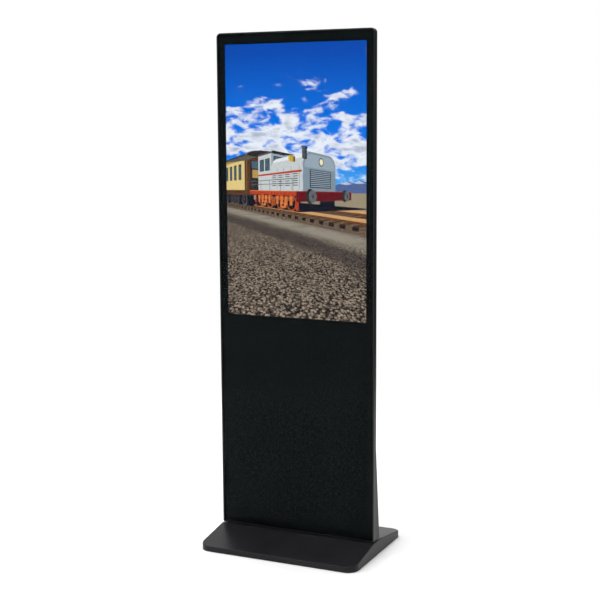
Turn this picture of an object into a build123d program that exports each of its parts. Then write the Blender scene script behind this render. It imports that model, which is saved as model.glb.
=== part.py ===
from build123d import *
import math
import os

# Touchscreen kiosk: a slim portrait cabinet with a glass front on a roof-shaped steel base.
# Millimetres. X runs across the front, Y from front to back, Z up from the floor.
# The origin is on the floor under the middle of the base, and the glass faces -Y.

# Display and glass
screen_w = 529.4  # lit area of a 43 inch 16:9 display stood on end
screen_h = 941.2
side_border = 30.3  # lit area to the cabinet's side
top_border = 39.7
lower_panel_h = 769.1  # cabinet's foot to the lit area
glass_t = 4.0
glass_gap = 0.4
glass_edge = 0.4
ink_t = 0.3
film_t = 0.4
film_border = 8.0
lcd_border = 12.3  # lit area to the outside of the display's steel bezel
lcd_lip = 1.5  # lit area to the bezel's inner edge
lcd_gasket_t = 1.0
lcd_bezel_t = 0.8
lcd_cell_t = 2.0
guide_t = 4.0
tray_t = 1.2
lcd_play = 0.3

# Front frame
frame_depth = 22.0
frame_wall = 2.5
frame_lip = 4.0
frame_corner_r = 15.0
frame_foot_r = 4.0  # the two corners at the foot
least_r = 0.5
frame_edge_r = 1.2
ledge_w = 10.0
ledge_t = 3.0
tape_w = 8.0
tape_t = 0.7
tape_gap = 1.0
rear_flange_w = 12.0
pan_t = 1.5
pan_gap = 0.2
pan_screw_pitch = 190.0
pan_screw_end = 20.0  # last screw on a side to the screws across the end
pan_end_pitch = 120.0
rail_h, rail_foot, rail_t = 40.0, 12.0, 1.5
rail_gap = 4.0  # rail to the frame's rear flange
rail_screw_inset = 25.0

# Rear cover, flare panels and frame members behind the back pan
bay_clear = 3.0  # deepest piece in the rear cover to the back pan
cover_inset = 30.0
cover_top_inset = 50.0
cover_t = 1.5
cover_edge_r = 10.0
flare_h = 340.0
flare_t = 1.5
flare_inset = 1.0
flare_gap = 0.3
flare_tab_w = 11.0
flare_tab_h = 290.0
rivet_rises = (40.0, 150.0, 260.0)  # above the cabinet's foot
upright_w = 50.0
upright_clear = 9.5  # upright's rear edge to the rear cover
upright_t = 2.5
upright_margin = 6.5  # upright to the rear cover's side wall
upright_foot = 8.0  # upright above the cabinet's foot
upright_top_gap = 50.0
standoff_r = 4.0
standoff_gap = 12.0  # standoff's axis to the upright
standoff_end = 40.0
standoff_top_gap = 50.0
standoff_pitch = 360.0
slot_w, slot_h = 60.0, 5.0
slot_web_x, slot_web_z = 12.0, 7.0
vent_rows, vent_columns = 8, 4
vent_shares = (0.12, 0.5)  # of the lit area's height
intake_rise = 62.0
intake_x = -110.0

# Service door
door_h = 420.0
door_z = 180.0
door_gap = 2.0
door_flange = 11.5
surround_t = 1.5
surround_lip = 12.0
surround_flange = 9.5
surround_margin = 3.5  # surround to the uprights
gasket_w = 8.0
gasket_t = 2.0
gasket_margin = 1.5
hinge_spread = 300.0
hinge_leaf_w = 24.0
hinge_leaf_t = 1.5
knuckle_r = 3.0
knuckle_len = 16.0
knuckle_gap = 0.4
knuckle_lift = 0.2
hinge_pin_r = 1.5
hinge_fit = 0.04
hinge_land = 0.5  # knuckle to its leaf's flat
pin_cap_t = 1.0
lock_spread = 260.0
lock_edge = 25.0  # lock's axis to the door's free edge
lock_head_r = 11.0
lock_head_t = 2.0
lock_r = 9.5
plug_r = 6.0
plug_fit = 0.05
plug_tang = 2.0
keyway_w, keyway_h, keyway_d = 1.8, 7.5, 8.0
lock_nut_r = 14.0
lock_nut_t = 4.0
cam_reach = 22.0
cam_w = 14.0
cam_t = 1.7
cam_gap = 0.3
cam_square = 6.0
cam_fit = 0.05
cam_nose = 2.0  # cam's end is narrowed by this each way

# Base
base_margin = 3.0  # base beyond the cabinet's side
base_d = 450.0
base_toe = 180.0  # base in front of the glass
base_edge_h = 20.0
base_ridge_h = 50.0
ridge_lead = 5.0  # ridge in front of the glass
ridge_d = 75.0
base_corner_r = 40.0
base_edge_r = 3.0
base_t = 3.0
base_lift = 1.5  # cover's lower edge above the floor
ballast_gap = 5.0
ballast_t = 12.0
pad_t = 3.0
pad_r = 20.0
pad_inset = 38.0
pad_edge = 0.6
stud_r = 6.0
stud_inset = 45.0
foot_gap = 4.0  # ridge to the cabinet's foot
post_w = 44.0
post_t = 8.0
post_h = 300.0
post_foot_w = 110.0
post_foot_d = 60.0
post_bolt_rises = (60.0, 140.0, 220.0)  # above the cabinet's foot
foot_bolt_x, foot_bolt_y = 40.0, 20.0
post_slot = 3.0  # clearance round a post

# Electronics
fan_size = 80.0
fan_t = 15.0
fan_x = 90.0
fan_drop = 110.0  # fan's axis below the top of the rear cover
duct_r = 38.0
hub_r = 17.0
blade_gap = 1.0
blade_count = 7
shaft_r = 1.5
shaft_fit = 0.04
fan_corner_r = 4.0
arm_w, arm_t = 4.0, 1.5
rotor_front_gap, rotor_rear_gap = 0.7, 1.2
blade_t, blade_w, blade_turn = 1.2, 14.0, 40.0
speaker_r = 33.0
speaker_x = 110.0
speaker_rise = 80.0  # speaker's axis above the door
psu_w, psu_h, psu_d = 200.0, 100.0, 30.0
psu_rise = 35.0  # power supply above the door's lower edge
psu_t = 1.2
board_margin = 4.0  # a board to the walls round it
board_lift = 3.0
peg_r = 3.0
psu_peg_x, psu_peg_z = 85.0, 36.0
player_w, player_h, player_d = 170.0, 150.0, 18.0
player_gap = 35.0  # above the power supply
player_t = 1.5
player_lift = 1.5  # rubber-edged spacers under the player
player_board_lift = 2.5
board_t = 1.6
sink_plate = 2.0
fin_h = 8.0
fin_t = 1.6
fin_margin = 10.0
fin_count = 15
player_corner_r = 3.0
player_foot_x, player_foot_z = 70.0, 55.0
player_foot_r, player_peg_r = 6.0, 3.5
button_r = 3.4
button_fit = 0.2
button_travel = 1.5
button_proud = 1.0  # cap beyond the case when it is pressed
button_in = 3.0
button_rise = 6.0  # button's axis above the board
button_x = 60.0
collar_rim = 1.2
collar_t = 1.5
collar_gap = 0.75
controller_w, controller_h = 90.0, 45.0
controller_rise = 160.0
controller_lift = 4.0
controller_peg_x, controller_peg_z = 40.0, 16.0
lead_slot_w, lead_slot_h = 60.0, 20.0
lead_slot_rise = 70.0
inlet_x = 120.0
inlet_z = 116.0
inlet_w, inlet_h = 27.5, 56.0
inlet_flange = 3.0
inlet_flange_t = 2.5
inlet_fit = 0.2
inlet_d = 26.0
pin_tail = 7.0
pin_w, pin_h = 2.0, 4.0
pin_sunk = 5.0
pin_places = ((-7.0, -1.5), (7.0, -1.5), (0.0, 2.5))  # round the socket's middle
socket_w, socket_h, socket_d = 24.0, 16.0, 17.0
socket_drop = 17.0
fuse_w, fuse_h, fuse_d = 20.0, 6.4, 20.0
fuse_drop = 2.5
fuse_fit = 0.15
fuse_wall = 1.5
fuse_lip = 4.0
notch_w, notch_h, notch_d = 6.0, 1.2, 1.0
rocker_w, rocker_h = 18.4, 12.2
rocker_rise = 14.0
rocker_tilt = 7.0
rocker_fit = 0.3
rocker_swing = 0.9  # more room above and below, for the tilt
rocker_pivot = 0.5  # beyond the rear cover
rocker_deep = 6.0
rocker_crown, rocker_dip = 2.6, 1.2
mains_lead_r = 3.5
mains_lead_gap = 0.5  # lead to the inlet's back
mains_lead_side = 22.0  # lead to the power supply's end
lead_r = 2.5

# Fasteners
screw_r = 2.0
screw_head_r = 4.0
screw_head_t = 2.0
hole_gap = 0.2
nut_t = 6.5
bolt_tail = 9.0
screw_end = 4.0
rivet_head_t = 1.2
bolt_r = 4.0
bolt_head_r = 6.5
bolt_head_t = 5.0

# Worked-out sizes
body_w = screen_w + 2 * side_border
body_h = lower_panel_h + screen_h + top_border
base_w = body_w + 2 * base_margin
body_z = base_ridge_h + foot_gap
body_top = body_z + body_h
body_mid = body_z + body_h / 2
screen_z = body_z + lower_panel_h
screen_mid = screen_z + screen_h / 2
face_y = base_toe - base_d / 2

# The rear cover is as deep as its deepest contents need
player_stack = player_lift + player_d + sink_plate + fin_h
bay_d = max(psu_d, player_stack, inlet_d + pin_tail - cover_t) + bay_clear
rear_depth = frame_depth + bay_d + cover_t
upright_d = bay_d - upright_clear

# Depths, from the glass face back
glass_y = face_y + glass_t
ink_y = glass_y + ink_t
film_y = ink_y + film_t
tape_y = ink_y + tape_t
ledge_y = tape_y + ledge_t
lcd_y = film_y + lcd_gasket_t
cell_y = lcd_y + lcd_bezel_t
guide_y = cell_y + lcd_cell_t
tray_y = guide_y + guide_t
rail_y = tray_y + tray_t
frame_y = face_y + frame_depth
pan_y = frame_y - pan_t
cover_y = face_y + rear_depth
cover_in_y = cover_y - cover_t
upright_y = frame_y + upright_t

# Widths and heights that follow
cover_w = body_w - 2 * cover_inset
cover_top = body_top - cover_top_inset
cover_h = cover_top - body_z
cover_mid = body_z + cover_h / 2
upright_x = cover_w / 2 - cover_t - upright_margin - upright_w / 2
upright_z = body_z + upright_foot
upright_h = cover_top - upright_top_gap - upright_z
open_w = 2 * (upright_x - upright_w / 2 - surround_margin - surround_flange - surround_t)
door_w = open_w - 2 * door_gap
open_h = door_h + 2 * door_gap
door_mid = door_z + door_h / 2
door_top = door_z + door_h
hinge_x = -(door_w + door_gap) / 2
hinge_y = cover_y + knuckle_r + knuckle_lift
surround_y = cover_in_y - door_flange - gasket_t - surround_t + cover_t
lock_x = door_w / 2 - lock_edge
cam_y = surround_y - cam_gap
ballast_w = base_w - 2 * (base_t + ballast_gap)
ballast_d = base_d - 2 * (base_t + ballast_gap)
ballast_z = pad_t + ballast_t
fan_z = cover_top - fan_drop
speaker_z = door_top + speaker_rise
psu_mid = door_z + psu_rise + psu_h / 2
player_z = door_z + psu_rise + psu_h + player_gap
player_mid = player_z + player_h / 2
player_y = frame_y + player_lift
player_lid_y = player_y + player_d
player_board_y = player_y + player_t + player_board_lift
player_top_y = player_board_y + board_t
button_y = player_top_y + button_rise
controller_z = door_top + controller_rise
standoff_x = upright_x - upright_w / 2 - standoff_gap
post_y = upright_y + post_t / 2
intake_z = body_z + intake_rise


def rect(w, h, r=0.0, x=0.0, z=0.0):
    """A rectangle across the cabinet, w along X and h along Z."""
    shape = RectangleRounded(w, h, r) if r else Rectangle(w, h)
    return Pos(x, z) * shape


def plate(shape, y0, y1):
    """A shape drawn across the cabinet, made solid from depth y0 back to y1."""
    return extrude(Plane.XZ.offset(-y0) * shape, amount=y1 - y0, dir=(0, 1, 0))


def prism(shape, x0, x1):
    """A shape drawn on the side view (Y, Z), made solid from x0 to x1."""
    return extrude(Plane.YZ.offset(x0) * shape, amount=x1 - x0, dir=(1, 0, 0))


def upward(shape, z0, z1):
    """A shape drawn in plan, made solid from z0 up to z1."""
    return extrude(Pos(0, 0, z0) * shape, amount=z1 - z0, dir=(0, 0, 1))


def dots(places, r):
    """Circles of radius r at (x, z) places, or at (x, y) places in plan."""
    return Sketch() + [Pos(x, z) * Circle(r) for x, z in places]


def spread(start, end, pitch):
    """Evenly spaced values from start to end, no further apart than pitch."""
    count = max(1, math.ceil((end - start) / pitch))
    return [start + (end - start) * i / count for i in range(count + 1)]


def front_outline(inset):
    """The cabinet's front outline drawn in by inset, with smaller corners at the foot."""
    shape = rect(body_w - 2 * inset, body_h - 2 * inset, z=body_mid)
    for r, above in ((frame_corner_r, True), (frame_foot_r, False)):
        corners = [v for v in shape.vertices()
                   if (v.Y > body_mid) == above and abs(abs(v.X) - body_w / 2 + inset) < 0.01]
        shape = fillet(corners, max(r - inset, least_r))
    return shape


def rear_screws(places, y_seat, length, head_t=screw_head_t):
    """Round-headed screws whose heads sit on depth y_seat and point back."""
    shanks = plate(dots(places, screw_r), y_seat - length, y_seat)
    return shanks + plate(dots(places, screw_head_r), y_seat, y_seat + head_t)


# Places that more than one piece shares
pan_edge_x = body_w / 2 - frame_wall - rear_flange_w / 2
pan_edge_z = [body_z + frame_wall + rear_flange_w / 2, body_top - frame_wall - rear_flange_w / 2]
pan_screw_places = [(x, z) for x in (-pan_edge_x, pan_edge_x)
                    for z in spread(pan_edge_z[0] + pan_screw_end,
                                    pan_edge_z[1] - pan_screw_end, pan_screw_pitch)]
pan_screw_places += [(i * pan_end_pitch, z) for z in pan_edge_z for i in (-1, 0, 1)]
rail_places = [screen_z + screen_h * share for share in (1 / 6, 1 / 2, 5 / 6)]
rail_len = body_w - 2 * (frame_wall + rear_flange_w + rail_gap)
rail_screw_x = upright_x - upright_w / 2 - rail_screw_inset
rail_screw_places = [(x, z + side * (rail_h + rail_foot) / 2) for z in rail_places
                     for side in (-1, 1) for x in (-rail_screw_x, rail_screw_x)]
standoff_places = [(x, z) for x in (-standoff_x, standoff_x)
                   for z in [body_z + standoff_end] + spread(
                       door_top + standoff_end, cover_top - standoff_top_gap, standoff_pitch)]
rivet_x = cover_w / 2 + flare_gap + flare_tab_w / 2
rivet_places = [(side * rivet_x, body_z + z) for side in (-1, 1) for z in rivet_rises]
post_bolt_places = [(side * upright_x, body_z + z) for side in (-1, 1) for z in post_bolt_rises]
foot_bolt_places = [(side * upright_x + x, post_y + y) for side in (-1, 1)
                    for x in (-foot_bolt_x, foot_bolt_x) for y in (-foot_bolt_y, foot_bolt_y)]
stud_places = [(x, y) for x in (-ballast_w / 4, ballast_w / 4)
               for y in (stud_inset - ballast_d / 2, ballast_d / 2 - stud_inset)]
pad_places = [(x, y) for x in (pad_inset - ballast_w / 2, 0, ballast_w / 2 - pad_inset)
              for y in (pad_inset - ballast_d / 2, ballast_d / 2 - pad_inset)]
lock_places = [(lock_x, door_mid - lock_spread / 2), (lock_x, door_mid + lock_spread / 2)]
hinge_places = [door_mid - hinge_spread / 2, door_mid + hinge_spread / 2]
fan_places = [(-fan_x, fan_z), (fan_x, fan_z)]
speaker_places = [(-speaker_x, speaker_z), (speaker_x, speaker_z)]
lead_slot_z = controller_z + lead_slot_rise


# Base
def gable(grow):
    """The base's roof-shaped side view, drawn in by grow from its outside."""
    front, back = -base_d / 2 + grow, base_d / 2 - grow
    ridge_front = face_y - ridge_lead
    return Polygon(
        (front, base_lift), (front, base_edge_h - grow), (ridge_front, base_ridge_h - grow),
        (ridge_front + ridge_d, base_ridge_h - grow), (back, base_edge_h - grow),
        (back, base_lift), align=None)


def base_block(grow, edge_r=0.0):
    """The base's outside, drawn in by grow, with its corners rounded in plan."""
    roof = prism(gable(grow), -base_w / 2 + grow, base_w / 2 - grow)
    plan = RectangleRounded(base_w - 2 * grow, base_d - 2 * grow, base_corner_r - grow)
    block = roof & upward(plan, 0, base_ridge_h + 1)
    if edge_r:
        rim = [e for e in block.edges() if e.center().Z > base_edge_h - 0.1
               and e.length < base_w - 2 * base_corner_r + 1
               and abs(e.center().X) + abs(e.center().Y) > base_d / 2 - base_corner_r]
        block = fillet(rim, edge_r)
    return block


def base_cover():
    void = base_block(base_t)
    foot = RectangleRounded(base_w - 2 * base_t, base_d - 2 * base_t, base_corner_r - base_t)
    void += upward(foot, 0, base_lift + base_t)
    studs = upward(dots(stud_places, stud_r), ballast_z, base_ridge_h) & base_block(base_t / 2)
    taps = upward(dots(stud_places, screw_r + hole_gap), 0, ballast_z + screw_end + 1)
    slots = [Pos(side * upright_x, post_y, base_ridge_h)
             * Box(post_w + 2 * post_slot, post_t + 2 * post_slot, 4 * base_t)
             for side in (-1, 1)]
    return base_block(0, base_edge_r) - void + studs - taps - slots


def ballast_plate():
    plan = RectangleRounded(ballast_w, ballast_d, base_corner_r - base_t - ballast_gap)
    slab = upward(plan, pad_t, ballast_z)
    for places, r, head_r, head_t in ((stud_places, screw_r, screw_head_r, screw_head_t),
                                      (foot_bolt_places, bolt_r, bolt_head_r, bolt_head_t)):
        slab -= upward(dots(places, r + hole_gap), 0, ballast_z + 1)
        slab -= upward(dots(places, head_r + hole_gap), 0, pad_t + head_t + hole_gap)
    return slab


def base_pads():
    pads = upward(dots(pad_places, pad_r), 0, pad_t)
    return chamfer(pads.edges().filter_by(lambda e: e.center().Z < 0.1), pad_edge)


def upward_fasteners(places, r, head_r, head_t, top):
    """Fasteners put in from below, with their heads let into the ballast plate."""
    seat = pad_t + hole_gap
    return upward(dots(places, head_r), seat, seat + head_t) + upward(
        dots(places, r), seat + head_t, top)


def base_posts():
    posts = Part()
    for side in (-1, 1):
        blade = Pos(side * upright_x, post_y, ballast_z + post_h / 2) * Box(post_w, post_t, post_h)
        foot = Pos(side * upright_x, post_y, ballast_z + post_t / 2) * Box(
            post_foot_w, post_foot_d, post_t)
        posts += blade + foot
    holes = plate(dots(post_bolt_places, bolt_r + hole_gap), post_y - post_t, post_y + post_t)
    holes += upward(dots(foot_bolt_places, bolt_r + hole_gap), 0, ballast_z + post_t + 1)
    return posts - holes


# Front frame and glass
def front_frame():
    ring = plate(front_outline(0), face_y, frame_y)
    front_edges = ring.edges().filter_by(lambda e: abs(e.center().Y - face_y) < 0.01)
    ring = fillet(front_edges, frame_edge_r)
    for inset, y0, y1 in ((frame_lip, face_y, tape_y), (frame_lip + ledge_w, tape_y, ledge_y),
                          (frame_wall, ledge_y, pan_y - ledge_t),
                          (frame_wall + rear_flange_w, pan_y - ledge_t, pan_y),
                          (frame_wall, pan_y, frame_y)):
        ring -= plate(front_outline(inset), y0, y1)
    return ring - plate(dots(pan_screw_places, screw_r + hole_gap), pan_y - ledge_t, pan_y)


def front_glass():
    glass = plate(front_outline(frame_lip + glass_gap), face_y, glass_y)
    front_edges = glass.edges().filter_by(lambda e: abs(e.center().Y - face_y) < 0.01)
    return chamfer(front_edges, glass_edge)


def ink_border():
    window = rect(screen_w, screen_h, z=screen_mid)
    return plate(front_outline(frame_lip + glass_gap) - window, glass_y, ink_y)


def glass_tape():
    inset = frame_lip + tape_gap
    return plate(front_outline(inset) - front_outline(inset + tape_w), ink_y, tape_y)


def touch_film():
    grow = 2 * film_border
    return plate(rect(screen_w + grow, screen_h + grow, 2, z=screen_mid), ink_y, film_y)


# Display
def around_screen(outer, inner, y0, y1):
    """A ring round the lit area between two borders."""
    shape = rect(screen_w + 2 * outer, screen_h + 2 * outer, z=screen_mid)
    return plate(shape - rect(screen_w + 2 * inner, screen_h + 2 * inner, z=screen_mid), y0, y1)


def lcd_gasket():
    return around_screen(film_border - lcd_play, lcd_lip, film_y, lcd_y)


def lcd_bezel():
    front = around_screen(lcd_border, lcd_lip, lcd_y, cell_y)
    return front + around_screen(lcd_border, lcd_border - lcd_bezel_t, cell_y, tray_y)


tray_border = lcd_border - lcd_bezel_t - lcd_play


def backlight_tray():
    sides = around_screen(tray_border, tray_border - tray_t, cell_y, tray_y)
    floor = rect(screen_w + 2 * tray_border, screen_h + 2 * tray_border, z=screen_mid)
    return sides + plate(floor, tray_y, rail_y)


def in_tray(y0, y1):
    """A sheet that lies inside the tray's sides."""
    border = 2 * (tray_border - tray_t - lcd_play)
    return plate(rect(screen_w + border, screen_h + border, z=screen_mid), y0, y1)


def lcd_rails():
    rails = Part()
    for z in rail_places:
        rails += plate(rect(rail_len, rail_h, z=z), rail_y, rail_y + rail_t)
        for side in (-1, 1):
            leg_z = z + side * (rail_h - rail_t) / 2
            rails += plate(rect(rail_len, rail_t, z=leg_z), rail_y, pan_y)
            foot_z = z + side * (rail_h + rail_foot) / 2
            rails += plate(rect(rail_len, rail_foot, z=foot_z), pan_y - rail_t, pan_y)
    return rails - plate(dots(rail_screw_places, screw_r + hole_gap), pan_y - 2 * rail_t, pan_y)


# Back pan, uprights and rear cover
def back_pan():
    pan = front_outline(frame_wall + pan_gap)
    pan -= dots(pan_screw_places + rail_screw_places + rivet_places, screw_r + hole_gap)
    pan -= dots(post_bolt_places, bolt_r + hole_gap)
    pan -= rect(lead_slot_w, lead_slot_h, lead_slot_h / 2 - 1, z=lead_slot_z)
    return plate(pan, pan_y, frame_y)


def upright(side):
    x = side * upright_x
    web = plate(rect(upright_w, upright_h, x=x, z=upright_z + upright_h / 2), frame_y, upright_y)
    web -= plate(dots(post_bolt_places, bolt_r + hole_gap), frame_y, upright_y)
    for edge in (-1, 1):
        wall_x = x + edge * (upright_w - upright_t) / 2
        web += plate(rect(upright_t, upright_h, x=wall_x, z=upright_z + upright_h / 2),
                     frame_y, frame_y + upright_d)
    return web


def upright_bolts():
    seat = post_y + post_t / 2
    bolts = plate(dots(post_bolt_places, bolt_r), pan_y - bolt_tail, seat)
    bolts += plate(dots(post_bolt_places, bolt_head_r), seat, seat + bolt_head_t)
    nuts = Sketch() + [Pos(x, z) * RegularPolygon(bolt_head_r, 6) for x, z in post_bolt_places]
    return bolts + plate(nuts, pan_y - nut_t, pan_y)


def slot_grid(columns, rows, x, z, length=slot_w, height=slot_h):
    """Rounded vent slots in a grid round (x, z)."""
    spots = GridLocations(length + slot_web_x, height + slot_web_z, columns, rows)
    return Sketch() + [Pos(x, z) * spot * SlotOverall(length, height) for spot in spots]


def round_vent(x, z, r, height=4.0):
    """Level slots that fill a circle of radius r."""
    pitch = 2.1 * height
    vent = Sketch()
    for row in range(-int((r - height) / pitch), int((r - height) / pitch) + 1):
        half = math.sqrt(r * r - (row * pitch) ** 2)
        vent += Pos(x, z + row * pitch) * SlotOverall(2 * half, height)
    return vent


def rear_cover():
    def tub(shrink, edge_r):
        w, d = cover_w - 2 * shrink, rear_depth - frame_depth - shrink
        h = cover_h - 2 * shrink
        box = Pos(0, frame_y + d / 2, cover_mid) * Box(w, d, h)
        back = frame_y + d
        bent = [e for e in box.edges() if abs(e.center().Y - back) < 0.01
                and e.center().Z > body_z + shrink + 0.1]
        return fillet(bent, edge_r)

    cover = tub(0, cover_edge_r) - tub(cover_t, cover_edge_r - cover_t)
    holes = rect(open_w, open_h, z=door_mid)
    holes += slot_grid(vent_columns - 1, vent_rows - 3, intake_x, intake_z)
    for share in vent_shares:
        holes += slot_grid(vent_columns, vent_rows, 0, screen_z + screen_h * share)
    for x, z in fan_places:
        holes += round_vent(x, z, duct_r)
    for x, z in speaker_places:
        holes += round_vent(x, z, speaker_r - 5, 3.0)
    holes += dots(standoff_places, screw_r + hole_gap)
    holes += rect(inlet_w + 2 * inlet_fit, inlet_h + 2 * inlet_fit, x=inlet_x, z=inlet_z)
    cover -= plate(holes, cover_in_y - 0.5, cover_y + 0.5)
    for side in (-1, 1):
        cover -= Pos(side * upright_x, post_y, body_z) * Box(
            post_w + 2 * post_slot, post_t + 2 * post_slot, 4 * cover_t)
    return cover


def cover_standoffs():
    posts = plate(dots(standoff_places, standoff_r), frame_y, cover_in_y)
    return posts - plate(dots(standoff_places, screw_r + hole_gap), cover_in_y - 12, cover_in_y)


def flare(side):
    top = body_z + flare_h
    outer = Polygon((frame_y, body_z), (cover_y, body_z), (frame_y + flare_t, top),
                    (frame_y, top), align=None)
    # Drawn in by the sheet's thickness at the slope, and open below and in front.
    inner = Pos(-1.02 * flare_t, flare_t) * outer
    inner += Pos(-2 * flare_t, flare_t) * outer
    x_in = cover_w / 2 + flare_gap
    x_out = body_w / 2 - flare_inset
    wedge = prism(outer, x_in, x_out) - prism(inner, x_in, x_out - flare_t)
    tab = plate(rect(flare_tab_w, flare_tab_h, x=x_in + flare_tab_w / 2,
                     z=body_z + flare_tab_h / 2), frame_y, frame_y + flare_t)
    wedge += tab
    right_rivets = [p for p in rivet_places if p[0] > 0]
    wedge -= plate(dots(right_rivets, screw_r + hole_gap), frame_y - 1, frame_y + flare_t + 1)
    return wedge if side > 0 else mirror(wedge, Plane.YZ)


# Service door
def door_surround():
    y = cover_in_y - surround_t
    tube = rect(open_w + 2 * surround_t, open_h + 2 * surround_t, z=door_mid)
    hole = rect(open_w, open_h, z=door_mid)
    lip = rect(open_w - 2 * surround_lip, open_h - 2 * surround_lip, z=door_mid)
    grow = 2 * (surround_t + surround_flange)
    flange = rect(open_w + grow, open_h + grow, z=door_mid)
    ring = plate(tube - hole, surround_y, cover_in_y)
    return ring + plate(tube - lip, surround_y, surround_y + surround_t) + plate(
        flange - hole, y, cover_in_y)


def door_gasket():
    y = surround_y + surround_t
    outer = rect(open_w - 2 * gasket_margin, open_h - 2 * gasket_margin, gasket_t, z=door_mid)
    less = 2 * (gasket_margin + gasket_w)
    inner = rect(open_w - less, open_h - less, gasket_t, z=door_mid)
    return plate(outer - inner, y, y + gasket_t)


def rear_door():
    skin = plate(rect(door_w, door_h, z=door_mid), cover_in_y, cover_y)
    inner = rect(door_w - 2 * cover_t, door_h - 2 * cover_t, z=door_mid)
    rim = plate(rect(door_w, door_h, z=door_mid) - inner,
                surround_y + surround_t + gasket_t, cover_in_y)
    return skin + rim - plate(dots(lock_places, lock_r + hole_gap), cover_in_y - 1, cover_y + 1)


def hinge_spans(z):
    """The three knuckles of a hinge, from its lowest: (bottom, top) pairs."""
    step = knuckle_len + knuckle_gap
    start = z - 1.5 * knuckle_len - knuckle_gap
    return [(start + i * step, start + i * step + knuckle_len) for i in range(3)]


def hinge_leaf(side, own):
    """Both hinges' leaves on one side; own lists the knuckles that belong to it."""
    leaves = Part()
    for z in hinge_places:
        spans = hinge_spans(z)
        height = spans[2][1] - spans[0][0]
        near = knuckle_r + hinge_land
        far = near + hinge_leaf_w
        wing = plate(rect(far - near, height, x=hinge_x + side * (near + far) / 2, z=z),
                     cover_y, cover_y + hinge_leaf_t)
        for bottom, top in [spans[i] for i in own]:
            middle, tall = (bottom + top) / 2, top - bottom
            reach = near + hinge_land
            wing += plate(rect(reach, tall, x=hinge_x + side * reach / 2, z=middle),
                          cover_y + knuckle_lift, cover_y + hinge_leaf_t)
            wing += Pos(hinge_x, hinge_y, middle) * Cylinder(knuckle_r, tall)
        leaves += wing
        leaves -= Pos(hinge_x, hinge_y, z) * Cylinder(hinge_pin_r + hinge_fit, height + 2)
    return leaves


def hinge_pins():
    pins = Part()
    for z in hinge_places:
        height = hinge_spans(z)[2][1] - hinge_spans(z)[0][0]
        pins += Pos(hinge_x, hinge_y, z) * Cylinder(hinge_pin_r, height)
        pins += Pos(hinge_x, hinge_y, z + (height + pin_cap_t) / 2) * Cylinder(
            knuckle_r - hinge_land, pin_cap_t)
    return pins


def lock_barrels():
    barrels = plate(dots(lock_places, lock_r), cam_y + plug_fit, cover_y)
    barrels += plate(dots(lock_places, lock_head_r), cover_y, cover_y + lock_head_t)
    return barrels - plate(dots(lock_places, plug_r + plug_fit), cam_y, cover_y + lock_head_t)


def lock_nuts():
    nuts = Sketch() + [Pos(x, z) * RegularPolygon(lock_nut_r, 6) for x, z in lock_places]
    return plate(nuts - dots(lock_places, lock_r + plug_fit), cover_in_y - lock_nut_t, cover_in_y)


def lock_plug(place):
    x, z = place
    plug = plate(dots([place], plug_r), cam_y, cover_y + lock_head_t)
    plug += plate(rect(cam_square, cam_square, x=x, z=z), cam_y - cam_t - plug_tang, cam_y)
    keyway = rect(keyway_w, keyway_h, x=x, z=z)
    return plug - plate(keyway, cover_y + lock_head_t - keyway_d, cover_y + lock_head_t)


def lock_cam(place):
    x, z = place
    blade = dots([place], cam_w / 2)
    blade += rect(cam_w, cam_reach - cam_nose, x=x, z=z - (cam_reach - cam_nose) / 2)
    blade += rect(cam_w - 2 * cam_nose, cam_reach, x=x, z=z - cam_reach / 2)
    hole = cam_square + 2 * cam_fit
    return plate(blade - rect(hole, hole, x=x, z=z), cam_y - cam_t, cam_y)


# Power supply, player and touch controller
def circuit(w, h, mid, low, blocks, cans=()):
    """A board with square parts (x, z, w, h, height) and round ones (x, z, r, height) on it."""
    top = low + board_t
    board = plate(rect(w, h, z=mid), low, top)
    for x, z, part_w, part_h, tall in blocks:
        board += plate(rect(part_w, part_h, x=x, z=mid + z), top, top + tall)
    for x, z, r, tall in cans:
        board += plate(dots([(x, mid + z)], r), top, top + tall)
    return board


def corner_places(x, z, mid):
    """Four places at x to either side and z above and below mid."""
    return [(side * x, mid + rise * z) for side in (-1, 1) for rise in (-1, 1)]


def psu_case():
    body = plate(rect(psu_w, psu_h, z=psu_mid), frame_y, frame_y + psu_d)
    body -= plate(rect(psu_w - 2 * psu_t, psu_h - 2 * psu_t, z=psu_mid),
                  frame_y + psu_t, frame_y + psu_d - psu_t)
    vents = slot_grid(5, 7, 0, psu_mid, 24.0, 4.0)
    return body - plate(vents, frame_y + psu_d - 2 * psu_t, frame_y + psu_d + 1)


psu_blocks = [(-20, 8, 34, 30, 19), (52, 28, 70, 4, 18), (52, -30, 52, 12, 12)]
psu_cans = [(-66, 22, 11, 20), (-66, -6, 11, 20)]


def psu_board():
    low = frame_y + psu_t + board_lift
    less = 2 * board_margin
    board = circuit(psu_w - less, psu_h - less, psu_mid, low, psu_blocks, psu_cans)
    pegs = dots(corner_places(psu_peg_x, psu_peg_z, psu_mid), peg_r)
    return board + plate(pegs, frame_y + psu_t, low)


socket_kinds = [(-55.0, 16.0, 11.5, 12.0, 8.0), (-20.0, 14.5, 7.4, 12.5, 5.2),
                (15.0, 16.0, 7.0, 14.0, 4.8)]  # x, outer w and d, opening w and d
player_socket_len = 16.0
player_socket_out = 1.0
player_blocks = [(10, 10, 30, 30, player_lid_y - player_top_y), (-40, 52, 68, 30, 4),
                 (52, -6, 40, 22, 3)]
player_cans = [(-60, 0, 5, 8), (-60, -18, 5, 8)]


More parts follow.
